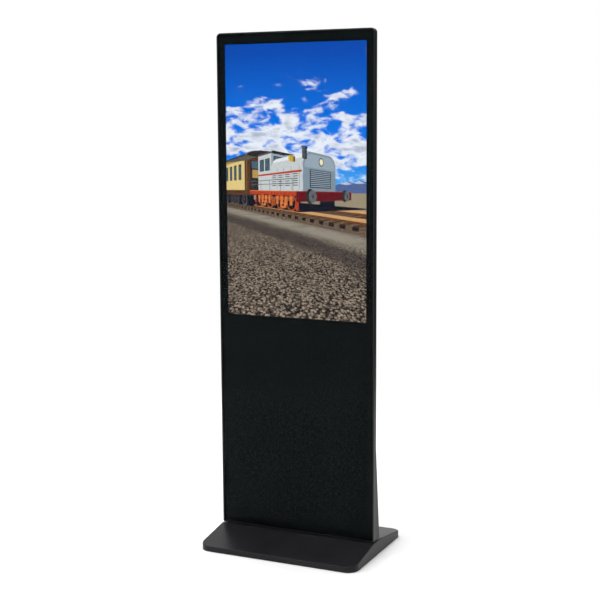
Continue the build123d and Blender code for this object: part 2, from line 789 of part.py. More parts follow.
def player_case():
    case = plate(rect(player_w, player_h, player_corner_r, z=player_mid), player_y, player_lid_y)
    less = 2 * player_t
    case -= plate(rect(player_w - less, player_h - less, player_corner_r - 1, z=player_mid),
                  player_y + player_t, player_lid_y)
    corners = corner_places(player_foot_x, player_foot_z, player_mid)
    case += plate(dots(corners, player_peg_r), player_y + player_t, player_board_y)
    case += plate(dots(corners, player_foot_r), frame_y, player_y)
    for x, w, d, _, _ in socket_kinds:
        case -= Pos(x, player_top_y + d / 2, player_z) * Box(
            w + 2 * hole_gap, d + 2 * hole_gap, 4 * player_t)
    return case - Pos(button_x, button_y, player_z) * Cylinder(
        button_r + button_fit, 4 * player_t)


def player_board():
    less = 2 * board_margin
    return circuit(player_w - less, player_h - less, player_mid, player_board_y,
                   player_blocks, player_cans)


def player_heatsink():
    y0 = player_lid_y + sink_plate
    sink = plate(rect(player_w, player_h, player_corner_r, z=player_mid), player_lid_y, y0)
    pitch = (player_w - 2 * fin_margin) / (fin_count - 1)
    fin = player_h - fin_margin
    fins = Sketch() + [rect(fin_t, fin, x=(i - (fin_count - 1) / 2) * pitch, z=player_mid)
                       for i in range(fin_count)]
    return sink + plate(fins, y0, y0 + fin_h)


def player_sockets():
    sockets = Part()
    low = player_z - player_socket_out
    depth = player_socket_len - 2
    for x, w, d, hole_w, hole_d in socket_kinds:
        y = player_top_y + d / 2
        shell = Pos(x, y, low + player_socket_len / 2) * Box(w, d, player_socket_len)
        sockets += shell - Pos(x, y, low + depth / 2) * Box(hole_w, hole_d, depth)
    return sockets


def power_button():
    z0, z1 = player_z - button_travel - button_proud, player_z + button_in
    cap = Pos(button_x, button_y, (z0 + z1) / 2) * Cylinder(button_r, z1 - z0)
    collar_z = player_z + player_t + collar_gap + collar_t / 2
    return cap + Pos(button_x, button_y, collar_z) * Cylinder(button_r + collar_rim, collar_t)


controller_blocks = [(0, 0, 14, 14, 1.4), (0, 17, 60, 5, 3), (-30, -17, 14, 8, 5)]


def touch_controller():
    low = frame_y + controller_lift
    board = circuit(controller_w, controller_h, controller_z, low, controller_blocks)
    pegs = dots(corner_places(controller_peg_x, controller_peg_z, controller_z), peg_r)
    return board + plate(pegs, frame_y, low)


# Mains inlet
inlet_face_y = cover_y + inlet_flange_t
socket_z = inlet_z - socket_drop
fuse_z = inlet_z - fuse_drop
rocker_z = inlet_z + rocker_rise
rocker_y = cover_y + rocker_pivot


def mains_inlet():
    grow = 2 * inlet_flange
    body = plate(rect(inlet_w, inlet_h, x=inlet_x, z=inlet_z), cover_y - inlet_d, cover_y)
    body += plate(rect(inlet_w + grow, inlet_h + grow, 3, x=inlet_x, z=inlet_z),
                  cover_y, inlet_face_y)
    cuts = plate(rect(socket_w, socket_h, 2, x=inlet_x, z=socket_z),
                 inlet_face_y - socket_d, inlet_face_y)
    fit = 2 * fuse_fit
    cuts += plate(rect(fuse_w + fit, fuse_h + fit, x=inlet_x, z=fuse_z),
                  inlet_face_y - fuse_d - 1, inlet_face_y)
    room = 2 * (rocker_fit + rocker_swing)
    cuts += plate(rect(rocker_w + 2 * rocker_fit, rocker_h + room, x=inlet_x, z=rocker_z),
                  rocker_y - rocker_deep - 2 * rocker_swing, inlet_face_y)
    return body - cuts - inlet_pins()


def inlet_pins():
    pins = Part()
    for x, z in pin_places:
        blade = rect(pin_w, pin_h, x=inlet_x + x, z=socket_z + z)
        pins += plate(blade, cover_y - inlet_d - pin_tail, inlet_face_y - pin_sunk)
    return pins


def fuse_drawer():
    drawer = plate(rect(fuse_w, fuse_h, x=inlet_x, z=fuse_z), inlet_face_y - fuse_d, inlet_face_y)
    well = rect(fuse_w - 2 * fuse_wall, fuse_h, x=inlet_x, z=fuse_z + fuse_wall)
    drawer -= plate(well, inlet_face_y - fuse_d + fuse_wall, inlet_face_y - fuse_lip)
    notch = rect(notch_w, notch_h, x=inlet_x, z=fuse_z + (fuse_h - notch_h) / 2)
    return drawer - plate(notch, inlet_face_y - notch_d, inlet_face_y)


def power_rocker():
    half = rocker_h / 2
    shape = Polygon((-rocker_deep, -half), (rocker_crown, -half), (rocker_dip, 0),
                    (rocker_crown, half), (-rocker_deep, half), align=None)
    rocker = prism(shape, -rocker_w / 2, rocker_w / 2)
    return Pos(inlet_x, rocker_y, rocker_z) * Rot(rocker_tilt, 0, 0) * rocker


# Speakers and fans
def turned(points, places):
    """A turned shape: (radius, depth) points spun about an axis that runs back at each place."""
    outline = Polygon(*points, align=None)
    solid = revolve(outline, Axis.Y)
    return [Pos(x, 0, z) * solid for x, z in places]


def speaker_baskets():
    back = cover_in_y
    r = speaker_r
    points = [(0, back - 24), (r - 15, back - 24), (r - 15, back - 14), (r - 5, back - 2),
              (r, back - 2), (r, back), (r - 3, back), (r - 6, back - 2.6), (r - 17, back - 12.5),
              (0, back - 12.5)]
    return Part() + turned(points, speaker_places)


def speaker_cones():
    back = cover_in_y
    r = speaker_r - 4.5
    points = [(0, back - 7), (7, back - 8.5), (8, back - 9.5), (r - 4, back - 2.2),
              (r, back - 0.8), (r, back - 0.2), (r - 5, back - 0.9), (8, back - 8),
              (0, back - 5.5)]
    return Part() + turned(points, speaker_places)


def fan_frames():
    y0 = cover_in_y - fan_t
    frames = Part()
    for x, z in fan_places:
        body = rect(fan_size, fan_size, fan_corner_r, x=x, z=z) - dots([(x, z)], duct_r)
        frames += plate(body, y0, cover_in_y)
        spider = dots([(x, z)], hub_r)
        for turn in range(4):
            spider += Pos(x, z) * Rot(0, 0, 45 + 90 * turn) * Pos(duct_r / 2 + 1, 0) * Rectangle(
                duct_r, arm_w)
        spider -= dots([(x, z)], shaft_r + shaft_fit)
        frames += plate(spider, y0, y0 + arm_t)
    return frames


def fan_rotor(place):
    x, z = place
    y0 = cover_in_y - fan_t + arm_t + rotor_front_gap
    y1 = cover_in_y - rotor_rear_gap
    middle = (y0 + y1) / 2
    rotor = plate(dots([(0, 0)], hub_r), y0, y1)
    rotor += plate(dots([(0, 0)], shaft_r), cover_in_y - fan_t, y0)
    tip = duct_r - blade_gap
    for i in range(blade_count):
        blade = Pos((hub_r - 1 + tip) / 2, middle, 0) * Rot(blade_turn, 0, 0) * Box(
            tip - hub_r + 1, blade_t, blade_w)
        rotor += Rot(0, 360 / blade_count * i, 0) * blade
    rotor &= Pos(0, middle, 0) * Rot(90, 0, 0) * Cylinder(tip, 2 * fan_t)
    return Pos(x, 0, z) * rotor


# Leads inside
def lead(points, r, bend):
    """A round lead along straight runs joined by arcs of radius bend."""
    path = FilletPolyline(*points, radius=bend)
    start = Plane(origin=path @ 0, z_dir=path % 0)
    return sweep(start * Circle(r), path=path)


mains_lead_y = cover_y - inlet_d - mains_lead_r - mains_lead_gap
lead_y = frame_y + 6
lead_x = controller_w / 2 + 20


def mains_lead():
    """From the inlet's pins, level under the door, then up to the power supply."""
    z = socket_z + pin_places[0][1]
    end_x = -psu_w / 2 - mains_lead_side
    y = mains_lead_y
    return lead([(inlet_x - 8, y, z), (end_x, y, z), (end_x, y, psu_mid),
                 (-psu_w / 2, y, psu_mid)], mains_lead_r, 8.0)


def player_lead():
    x0 = psu_w / 2
    x1 = player_w / 2
    return lead([(x0, lead_y, psu_mid + 20), (x0 + 24, lead_y, psu_mid + 20),
                 (x0 + 24, lead_y, player_mid + 8), (x1, lead_y, player_mid + 8)], lead_r, 9.0)


def display_lead():
    """Up from the player, round the touch controller and through the pan to the display."""
    z0 = player_z + player_h
    return lead([(-30, lead_y, z0), (-30, lead_y, door_top - 20), (lead_x, lead_y, speaker_z + 20),
                 (lead_x, lead_y, controller_z + 40), (0, lead_y, lead_slot_z),
                 (0, rail_y, lead_slot_z)], lead_r, 7.0)


nodes = {
    "base_cover": base_cover(),
    "ballast_plate": ballast_plate(),
    "base_pads": base_pads(),
    "base_cover_screws": upward_fasteners(
        stud_places, screw_r, screw_head_r, screw_head_t, ballast_z + screw_end),
    "base_posts": base_posts(),
    "post_bolts": upward_fasteners(
        foot_bolt_places, bolt_r, bolt_head_r, bolt_head_t, ballast_z + post_t),
    "left_upright": upright(-1),
    "right_upright": upright(1),
    "upright_bolts": upright_bolts(),
    "front_frame": front_frame(),
    "front_glass": front_glass(),
    "ink_border": ink_border(),
    "glass_tape": glass_tape(),
    "touch_film": touch_film(),
    "lcd_gasket": lcd_gasket(),
    "lcd_bezel": lcd_bezel(),
    "lcd_cell": in_tray(cell_y, guide_y),
    "light_guide": in_tray(guide_y, tray_y),
    "backlight_tray": backlight_tray(),
    "lcd_rails": lcd_rails(),
    "back_pan": back_pan(),
    "pan_screws": rear_screws(pan_screw_places + rail_screw_places, frame_y, pan_t + 3),
    "rear_cover": rear_cover(),
    "cover_standoffs": cover_standoffs(),
    "cover_screws": rear_screws(standoff_places, cover_y, 10),
    "left_flare": flare(-1),
    "right_flare": flare(1),
    "flare_rivets": rear_screws(rivet_places, frame_y + flare_t, pan_t + flare_t, rivet_head_t),
    "door_surround": door_surround(),
    "door_gasket": door_gasket(),
    "rear_door": rear_door(),
    "hinge_frame_leaves": hinge_leaf(-1, (0, 2)),
    "hinge_door_leaves": hinge_leaf(1, (1,)),
    "hinge_pins": hinge_pins(),
    "lock_barrels": lock_barrels(),
    "lock_nuts": lock_nuts(),
    "lower_lock_plug": lock_plug(lock_places[0]),
    "upper_lock_plug": lock_plug(lock_places[1]),
    "lower_lock_cam": lock_cam(lock_places[0]),
    "upper_lock_cam": lock_cam(lock_places[1]),
    "psu_case": psu_case(),
    "psu_board": psu_board(),
    "player_case": player_case(),
    "player_board": player_board(),
    "player_heatsink": player_heatsink(),
    "player_sockets": player_sockets(),
    "power_button": power_button(),
    "touch_controller": touch_controller(),
    "mains_inlet": mains_inlet(),
    "inlet_pins": inlet_pins(),
    "fuse_drawer": fuse_drawer(),
    "power_rocker": power_rocker(),
    "speaker_baskets": speaker_baskets(),
    "speaker_cones": speaker_cones(),
    "fan_frames": fan_frames(),
    "left_fan_rotor": fan_rotor(fan_places[0]),
    "right_fan_rotor": fan_rotor(fan_places[1]),
    "mains_lead": mains_lead(),
    "player_lead": player_lead(),
    "display_lead": display_lead(),
}

os.makedirs("parts", exist_ok=True)
for name, shape in nodes.items():
    export_step(shape, f"parts/{name}.step")
    print(name, len(shape.solids()), round(shape.volume))
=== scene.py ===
# %% [markdown]
# # A touchscreen kiosk
# The cabinet, its door, locks, fans and base come from the design model, already at their real
# sizes and places. This lesson gives them their finishes, adds the small parts that only the eye
# needs, paints a picture on the display, and sets up a plain studio.

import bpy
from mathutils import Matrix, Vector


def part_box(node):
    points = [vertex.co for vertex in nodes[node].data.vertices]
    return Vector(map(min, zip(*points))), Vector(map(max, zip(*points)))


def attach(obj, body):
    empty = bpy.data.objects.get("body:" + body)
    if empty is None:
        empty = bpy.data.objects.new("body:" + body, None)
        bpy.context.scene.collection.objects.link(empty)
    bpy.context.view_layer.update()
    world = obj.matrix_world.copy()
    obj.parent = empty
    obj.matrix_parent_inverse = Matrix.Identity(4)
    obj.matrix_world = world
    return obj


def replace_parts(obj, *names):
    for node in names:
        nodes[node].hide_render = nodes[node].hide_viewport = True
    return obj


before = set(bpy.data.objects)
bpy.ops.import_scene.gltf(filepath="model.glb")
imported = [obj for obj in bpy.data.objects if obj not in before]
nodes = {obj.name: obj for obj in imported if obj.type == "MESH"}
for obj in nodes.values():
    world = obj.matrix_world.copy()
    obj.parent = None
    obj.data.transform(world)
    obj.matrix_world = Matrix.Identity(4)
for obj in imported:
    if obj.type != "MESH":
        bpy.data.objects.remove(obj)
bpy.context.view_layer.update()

import math

import bmesh
import bpy
from mathutils import Matrix, Vector

MM = 0.001

# %% [markdown] Every size that follows is worked out from the model's own pieces, so nothing
# has to be fitted by hand.

# %% Measure the pieces that others line up with
cell_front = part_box("lcd_cell")[0][1]
film_low, film_high = (Vector(c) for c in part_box("touch_film"))
film_border = 8 * MM
lit_low_x, lit_high_x = film_low.x + film_border, film_high.x - film_border
lit_low_z, lit_high_z = film_low.z + film_border, film_high.z - film_border
lit_w, lit_h = lit_high_x - lit_low_x, lit_high_z - lit_low_z
print("lit area:", round(lit_w, 4), "by", round(lit_h, 4), "m")

# %% [markdown]
# ## Shader sums in plain Python
# A finish is a small network of nodes. Written node by node it is long and hard to read, so one
# class wraps a socket and lets `+`, `-` and `*` add the Math nodes. Any other node comes from
# one method, `node`, which takes the node's type, its settings and what its sockets hold.


# %% A socket that takes part in sums
class Value:
    def __init__(self, finish, socket):
        self.finish, self.socket = finish, socket

    def maths(self, operation, *others):
        sockets = dict(enumerate((self, *others)))
        return self.finish.node("Math", {"operation": operation}, sockets)

    def __add__(self, other):
        return self.maths("ADD", other)

    __radd__ = __add__

    def __mul__(self, other):
        return self.maths("MULTIPLY", other)

    __rmul__ = __mul__

    def __sub__(self, other):
        return self.maths("SUBTRACT", other)

    def __rsub__(self, other):
        return self.finish.node("Math", {"operation": "SUBTRACT"}, {0: other, 1: self})

    def __truediv__(self, other):
        return self.maths("DIVIDE", other)

    def __rtruediv__(self, other):
        return self.finish.node("Math", {"operation": "DIVIDE"}, {0: other, 1: self})

    def at_least(self, other):
        return self.maths("MAXIMUM", other)

    def size(self):
        return self.maths("ABSOLUTE")

    def ramp(self, low, high, smooth=True):
        """0 at low, 1 at high, and level outside them."""
        kind = "SMOOTHSTEP" if smooth else "LINEAR"
        return self.finish.node("MapRange", {"interpolation_type": kind, "clamp": True},
                                {"Value": self, "From Min": low, "From Max": high})


print("sums:", [name for name in vars(Value) if not name.startswith("__")])

# %% [markdown]
# ## One material for each finish
# A finish is a material with one Principled shader. Values that are the same all over go straight
# on the shader's own sockets. What varies comes from a few patterns, such as noise and cells, so
# each of those has a method, and a finish then reads like a recipe.


# %% A finish
class Finish:
    made = {}

    def __init__(self, name, **constants):
        self.material = bpy.data.materials.new(name)
        self.material.use_nodes = True
        self.tree = self.material.node_tree
        self.shader = self.tree.nodes["Principled BSDF"]
        for socket, value in constants.items():
            self.set(socket.replace("_", " "), value)
        Finish.made[name] = self

    def set(self, socket, value):
        socket = {"IOR Level": "Specular IOR Level"}.get(socket, socket)
        self.fill(self.shader.inputs[socket], value)

    def fill(self, target, value):
        """Links a value to a socket, or sets a number or a colour on it."""
        if isinstance(value, Value):
            self.tree.links.new(value.socket, target)
        elif hasattr(target.default_value, "__len__") and not hasattr(value, "__len__"):
            target.default_value = [value] * len(target.default_value)
        elif hasattr(value, "__len__") and len(value) == 3 and len(target.default_value) == 4:
            target.default_value = (*value, 1.0)
        else:
            target.default_value = value

    def node(self, kind, settings=None, sockets=None, out=0):
        """Any node: its type, its settings, and what its sockets hold."""
        made = self.tree.nodes.new("ShaderNode" + kind)
        for name, value in (settings or {}).items():
            setattr(made, name, value)
        for name, value in (sockets or {}).items():
            self.fill(made.inputs[name], value)
        return Value(self, made.outputs[out])

    def place(self, scale=(1, 1, 1), shift=(0, 0, 0)):
        """The piece's own coordinates, in metres, scaled and moved."""
        spot = self.node("TexCoord", out="Object")
        return self.node("Mapping", sockets={"Vector": spot, "Location": shift, "Scale": scale})

    def axes(self, place=None):
        split = self.node("SeparateXYZ", sockets={"Vector": place or self.place()})
        return [Value(self, split.socket.node.outputs[i]) for i in range(3)]

    def noise(self, size, detail=2.0, rough=0.5, place=None, twist=0.0):
        return self.node("TexNoise", sockets={
            "Vector": place or self.place(), "Scale": 1 / size, "Detail": detail,
            "Roughness": rough, "Distortion": twist})

    def cells(self, size, feature="F1", place=None, out="Distance", spread=1.0):
        return self.node("TexVoronoi", {"feature": feature}, {
            "Vector": place or self.place(), "Scale": 1 / size, "Randomness": spread}, out=out)

    def mix(self, amount, low, high):
        """A colour between low and high."""
        settings = {"data_type": "RGBA", "blend_type": "MIX", "clamp_factor": True}
        return self.node("Mix", settings, {0: amount, 6: low, 7: high}, out=2)

    def bump(self, height, strength, distance):
        return self.node("Bump", sockets={
            "Height": height, "Strength": strength, "Distance": distance}, out="Normal")


def wear(finish, *names):
    """Gives parts of the model their finish."""
    for name in names:
        slots = nodes[name].data.materials
        slots.clear()
        slots.append(finish.material)
    print(finish.material.name, "on", len(names), "parts")


print("a finish has:", [name for name in vars(Finish) if not name.startswith("__")])

# %% [markdown]
# ## Powder coat
# The steel covers are sprayed with a black powder that is baked on. It flows into a satin skin
# covered in tiny rounded bumps, about a millimetre across, with a few larger waves. A layer of
# cells and one of noise feed one Bump node, and the same noise makes the gloss slightly uneven.


# %% Powder-coated steel
def powder_coat(name, colour, rough, shine=0.5, grain=0.9 * MM, depth=0.05 * MM):
    coat = Finish(name, IOR_Level=shine)
    pebbles = coat.cells(grain, "SMOOTH_F1")
    wave = coat.noise(7 * MM, 3, 0.6)
    cloud = coat.noise(90 * MM, 3)
    lighter = [min(1.0, c * 1.35 + 0.002) for c in colour]
    coat.set("Base Color", coat.mix(cloud.ramp(0.3, 0.7), colour, lighter))
    coat.set("Roughness", rough + 0.10 * (wave - 0.5) + 0.08 * (cloud - 0.5))
    coat.set("Normal", coat.bump(1 - pebbles + 0.5 * wave, 0.35, depth))
    return coat


cover_coat = powder_coat("cover_powder_coat", (0.012, 0.012, 0.0128), 0.46, 0.3)
base_coat = powder_coat("base_powder_coat", (0.0085, 0.0078, 0.0096), 0.36, 0.2, 1.5 * MM, 0.08 * MM)
pan_coat = powder_coat("pan_powder_coat", (0.014, 0.014, 0.015), 0.5)
wear(cover_coat, "rear_cover", "left_flare", "right_flare", "rear_door",
     "hinge_frame_leaves", "hinge_door_leaves")
wear(base_coat, "base_cover")
wear(pan_coat, "back_pan")

# %% [markdown]
# ## The front frame
# The frame is black anodised aluminium. Anodising keeps the fine lines of the brushing under
# it, so the noise is stretched along the profile: long and thin, and almost too fine to see.


# %% Brushed and anodised aluminium
def brushed(name, colour, rough, metallic, along="z", line=0.35 * MM, depth=0.012 * MM):
    metal = Finish(name, Metallic=metallic, IOR_Level=0.2)
    stretch = {"x": (0.02, 1, 1), "z": (1, 1, 0.02)}[along]
    lines = metal.noise(line, 2, place=metal.place(scale=stretch))
    cloud = metal.noise(60 * MM, 2)
    brighter = [min(1.0, c * 1.3 + 0.003) for c in colour]
    metal.set("Base Color", metal.mix(lines, colour, brighter))
    metal.set("Roughness", rough + 0.12 * (lines - 0.5) + 0.06 * (cloud - 0.5))
    metal.set("Normal", metal.bump(lines, 0.3, depth))
    return metal


frame_metal = brushed("frame_anodised", (0.011, 0.0115, 0.012), 0.34, 0.0)
player_metal = brushed("player_aluminium", (0.10, 0.105, 0.115), 0.38, 1.0, "x")
sink_metal = brushed("sink_aluminium", (0.02, 0.021, 0.023), 0.4, 0.6)
wear(frame_metal, "front_frame")
wear(player_metal, "player_case")
wear(sink_metal, "player_heatsink")

# %% [markdown]
# ## Zinc-plated steel
# Inner brackets, plates and fasteners are zinc plated. Zinc has soft patches of different
# brightness, large on galvanised sheet and small on plated screws. Voronoi cells give the
# patches, each with its own random shade.


# %% Zinc plate, for sheet and for fasteners
def zinc(name, patch, colour=(0.33, 0.34, 0.36), rough=0.42):
    metal = Finish(name, Metallic=1.0)
    patches = metal.cells(patch, out="Color")
    shade = metal.axes(patches)[0]
    fine = metal.noise(patch / 6, 3)
    darker = [c * 0.78 for c in colour]
    metal.set("Base Color", metal.mix(0.6 * shade + 0.4 * fine, darker, colour))
    metal.set("Roughness", rough + 0.16 * (shade - 0.5) + 0.1 * (fine - 0.5))
    metal.set("Normal", metal.bump(fine, 0.15, 0.02 * MM))
    return metal


zinc_sheet = zinc("zinc_sheet", 9 * MM)
zinc_bolts = zinc("zinc_bolts", 1.6 * MM, rough=0.3)
black_bolts = zinc("black_oxide_bolts", 1.2 * MM, (0.035, 0.036, 0.04), 0.42)
wear(zinc_sheet, "ballast_plate", "base_posts", "left_upright", "right_upright", "lcd_rails",
     "backlight_tray", "door_surround", "psu_case")
wear(zinc_bolts, "base_cover_screws", "post_bolts", "upright_bolts", "hinge_pins", "lock_nuts",
     "lower_lock_cam", "upper_lock_cam", "cover_standoffs", "player_sockets")
wear(black_bolts, "pan_screws", "cover_screws", "flare_rivets")

# %% [markdown]
# ## Plastics, rubber and foam
# Moulded plastic is smooth with a faint spark-eroded texture. Rubber is rougher and a little
# dusty. Foam has open cells. One function covers all three, with the size of the grain, how
# deep it is and how rough the surface is.


# %% Moulded and soft materials
def moulded(name, colour, rough, grain=0.5 * MM, depth=0.02 * MM, dust=0.0):
    stuff = Finish(name, IOR_Level=0.5)
    texture = stuff.cells(grain, "SMOOTH_F1")
    patches = stuff.noise(25 * MM, 4, 0.6)
    dusty = [c + dust for c in colour]
    stuff.set("Base Color", stuff.mix(patches.ramp(0.35, 0.75), colour, dusty))
    stuff.set("Roughness", rough + 0.12 * (patches - 0.5))
    stuff.set("Normal", stuff.bump(texture, 0.4, depth))
    return stuff


inlet_plastic = moulded("inlet_plastic", (0.014, 0.014, 0.014), 0.42)
button_plastic = moulded("button_plastic", (0.01, 0.01, 0.01), 0.2, 0.3 * MM, 0.005 * MM)
fan_plastic = moulded("fan_plastic", (0.016, 0.016, 0.017), 0.5)
basket_metal = moulded("speaker_basket_paint", (0.02, 0.02, 0.02), 0.45)
pad_rubber = moulded("pad_rubber", (0.018, 0.018, 0.018), 0.75, 0.9 * MM, 0.06 * MM, 0.012)
foam = moulded("gasket_foam", (0.022, 0.022, 0.023), 0.95, 0.8 * MM, 0.2 * MM, 0.01)
lead_sheath = moulded("lead_sheath", (0.012, 0.012, 0.012), 0.4, 0.4 * MM, 0.01 * MM, 0.004)
bezel_paint = moulded("bezel_paint", (0.012, 0.012, 0.012), 0.5)
wear(inlet_plastic, "mains_inlet", "fuse_drawer")
wear(button_plastic, "power_button", "power_rocker")
wear(fan_plastic, "fan_frames", "left_fan_rotor", "right_fan_rotor")
wear(basket_metal, "speaker_baskets")
wear(pad_rubber, "base_pads")
wear(foam, "glass_tape", "lcd_gasket", "door_gasket")
wear(lead_sheath, "mains_lead", "player_lead", "display_lead")
wear(bezel_paint, "lcd_bezel")


# %% [markdown]
# ## Locks and pins
# The lock barrels are chromed, and keys scuff them. The inlet's pins are nickel over brass that
# shows through where a plug rubs. One noise drives both the colour and the gloss, so a spot that
# looks worn is also duller.

# %% Chrome and nickelled brass
lock_chrome = Finish("lock_chrome", Metallic=1.0)
scuffs = lock_chrome.noise(3 * MM, 5, 0.7)
lock_chrome.set("Base Color", lock_chrome.mix(scuffs, (0.50, 0.50, 0.51), (0.62, 0.62, 0.63)))
lock_chrome.set("Roughness", 0.10 + 0.16 * scuffs)
wear(lock_chrome, "lock_barrels", "lower_lock_plug", "upper_lock_plug")

pin_brass = Finish("pin_nickel_brass", Metallic=1.0)
tarnish = pin_brass.noise(2 * MM, 4, 0.6)
pin_brass.set("Base Color", pin_brass.mix(tarnish, (0.50, 0.44, 0.30), (0.64, 0.60, 0.48)))
pin_brass.set("Roughness", 0.22 + 0.2 * tarnish)
wear(pin_brass, "inlet_pins")

# %% [markdown]
# ## Speaker cones and circuit boards
# A cone is pressed paper pulp: matt, with matted fibres that a twisted noise gives. A board is
# covered in green lacquer, and the copper tracks under it show as paler lines along the edges of
# stretched cells.

# %% Paper pulp and solder mask
pulp = Finish("speaker_pulp", Sheen_Weight=0.3)
fibres = pulp.noise(1.2 * MM, 6, 0.7, twist=1.5)
pulp.set("Base Color", pulp.mix(fibres, (0.018, 0.018, 0.018), (0.05, 0.048, 0.045)))
pulp.set("Roughness", 0.8 + 0.2 * (fibres - 0.5))
pulp.set("Normal", pulp.bump(fibres, 0.5, 0.15 * MM))
wear(pulp, "speaker_cones")

board_mask = Finish("board_solder_mask", IOR_Level=0.5)
tracks = board_mask.cells(2.4 * MM, "DISTANCE_TO_EDGE", place=board_mask.place(scale=(1, 0, 0.4)))
copper = tracks.ramp(0.12, 0.06)
board_mask.set("Base Color", board_mask.mix(copper, (0.006, 0.045, 0.02), (0.015, 0.10, 0.04)))
board_mask.set("Roughness", 0.3 + 0.1 * copper)
wear(board_mask, "psu_board", "player_board", "touch_controller")

# %% [markdown]
# ## Light guide and display cell
# The light guide is clear acrylic with an even grid of printed dots that turn light forwards.
# The cell in front of it is nearly black when it is off, with a faint unevenness.

# %% Acrylic and the cell's skin
acrylic = Finish("guide_acrylic", IOR_Level=0.5)
dots = acrylic.cells(2 * MM, place=acrylic.place(scale=(1, 0, 1)), spread=0.0)
acrylic.set("Base Color", acrylic.mix(dots.ramp(0.3, 0.25), (0.72, 0.75, 0.76), (0.9, 0.92, 0.92)))
acrylic.set("Roughness", 0.15 + 0.2 * dots)
wear(acrylic, "light_guide")

cell_skin = Finish("display_skin", IOR_Level=0.3)
mura = cell_skin.noise(120 * MM, 2)
cell_skin.set("Base Color", cell_skin.mix(mura, (0.004, 0.005, 0.006), (0.006, 0.007, 0.009)))
cell_skin.set("Roughness", 0.22 + 0.05 * mura)
wear(cell_skin, "lcd_cell")
print(len(Finish.made), "finishes so far")

# %% [markdown]
# ## Glass with a printed border
# The whole front is one sheet of toughened glass, coated against reflections. The coating works
# like a lower index of refraction, so the glass is given 1.085 and not its own 1.5. Ceramic ink
# is printed on its back everywhere but over the lit area. The ink is a deep black with a trace
# of green from the glass in front of it. The touch film behind it is so clear that it is nearly
# all see-through.

# %% Glass, ink and film
clear_glass = Finish("clear_glass", Transmission_Weight=1.0, Roughness=0.0, IOR=1.085)
clear_glass.set("Base Color", (0.97, 0.99, 0.985))
wear(clear_glass, "front_glass")

ink = Finish("printed_ink", IOR_Level=0.05)
speck = ink.noise(0.7 * MM, 2)
ink.set("Base Color", ink.mix(speck, (0.0012, 0.0032, 0.0036), (0.0018, 0.0042, 0.0046)))
ink.set("Roughness", 0.5 + 0.1 * speck)
wear(ink, "ink_border")

film = Finish("touch_film", Roughness=0.1, Alpha=0.02, IOR_Level=0.1)
film.set("Base Color", (0.2, 0.22, 0.24))
wear(film, "touch_film")
missing = [name for name, node in nodes.items() if node.data.materials[0].name not in Finish.made]
print("nodes without a finish:", missing)

# %% [markdown]
# ## From a mesh to a piece
# Every new piece is shaped as a bmesh. Then it needs a mesh, an object, a finish and the body that
# carries it. One function does this for all of them.


# %% Finishing a piece
def finished(name, mesh_data, finish, body):
    """An object from a bmesh, with its finish, its body and its slot."""
    bmesh.ops.recalc_face_normals(mesh_data, faces=mesh_data.faces[:])
    mesh = bpy.data.meshes.new(name)
    mesh_data.to_mesh(mesh)
    mesh_data.free()
    mesh.materials.append(finish.material)
    piece = bpy.data.objects.new(name, mesh)
    bpy.context.collection.objects.link(piece)
    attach(piece, body)
    print(name, "has", len(mesh.polygons), "faces")
    return piece


# %% [markdown]
# ## The printed border
# The model's ink lies exactly on the glass, and two surfaces in one place confuse a renderer. So
# the ink is made again as a sheet a few hundredths of a millimetre behind the glass. A grid of
# one square has its top corners rounded, is cut along the four sides of the lit area, loses its
# middle and is given a thickness.

# %% Ink sheet, a hair behind the glass
ink_low, ink_high = (Vector(c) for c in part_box("ink_border"))
hair = 0.05 * MM
glass_corner = 10.6 * MM
sheet = bmesh.new()
bmesh.ops.create_grid(sheet, x_segments=1, y_segments=1, size=0.5)
size = ink_high - ink_low
lay = Matrix.Translation(((ink_low.x + ink_high.x) / 2, ink_low.y + hair,
                          (ink_low.z + ink_high.z) / 2))
lay = lay @ Matrix.Rotation(math.radians(90), 4, "X") @ Matrix.Diagonal((size.x, size.z, 1, 1))
bmesh.ops.transform(sheet, matrix=lay, verts=sheet.verts[:])
top_corners = [v for v in sheet.verts if v.co.z > ink_high.z - hair]
bmesh.ops.bevel(sheet, geom=top_corners, offset=glass_corner, segments=8, profile=0.5,
                affect="VERTICES", material=-1)
for spot, cut in (((lit_low_x, 0, 0), (1, 0, 0)), ((lit_high_x, 0, 0), (1, 0, 0)),
                  ((0, 0, lit_low_z), (0, 0, 1)), ((0, 0, lit_high_z), (0, 0, 1))):
    bmesh.ops.bisect_plane(sheet, geom=sheet.verts[:] + sheet.edges[:] + sheet.faces[:],
                           plane_co=spot, plane_no=cut)
window = [f for f in sheet.faces
          if lit_low_x < f.calc_center_median().x < lit_high_x
          and lit_low_z < f.calc_center_median().z < lit_high_z]
bmesh.ops.delete(sheet, geom=window, context="FACES")
grown = bmesh.ops.extrude_face_region(sheet, geom=sheet.faces[:])["geom"]
moved = [v for v in grown if isinstance(v, bmesh.types.BMVert)]
bmesh.ops.translate(sheet, verts=moved, vec=(0, size.y - 2 * hair, 0))
ink_sheet = finished("ink_sheet", sheet, ink, "cabinet")
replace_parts(ink_sheet, "ink_border")

# %% [markdown]
# ## The picture on the display
# The display shows a scene from a railway museum: an engine and two carriages standing on a line
# under a wide sky. A display's picture is light, so every paint here glows and reflects nothing.
# The train is a tiny model of flat sides, in its own metres. `eye` finds where each of its
# corners falls on the display, as a camera would: what is further off is drawn smaller.


# %% Where a point of the little railway falls on the display
eye_height = 1.3
turn = math.radians(43)  # of the line from straight ahead
engine_off = 10.0  # from the eye to the engine's front
zoom = 1.2
side_step = 0.41
horizon_z = lit_low_z + 0.465 * lit_h


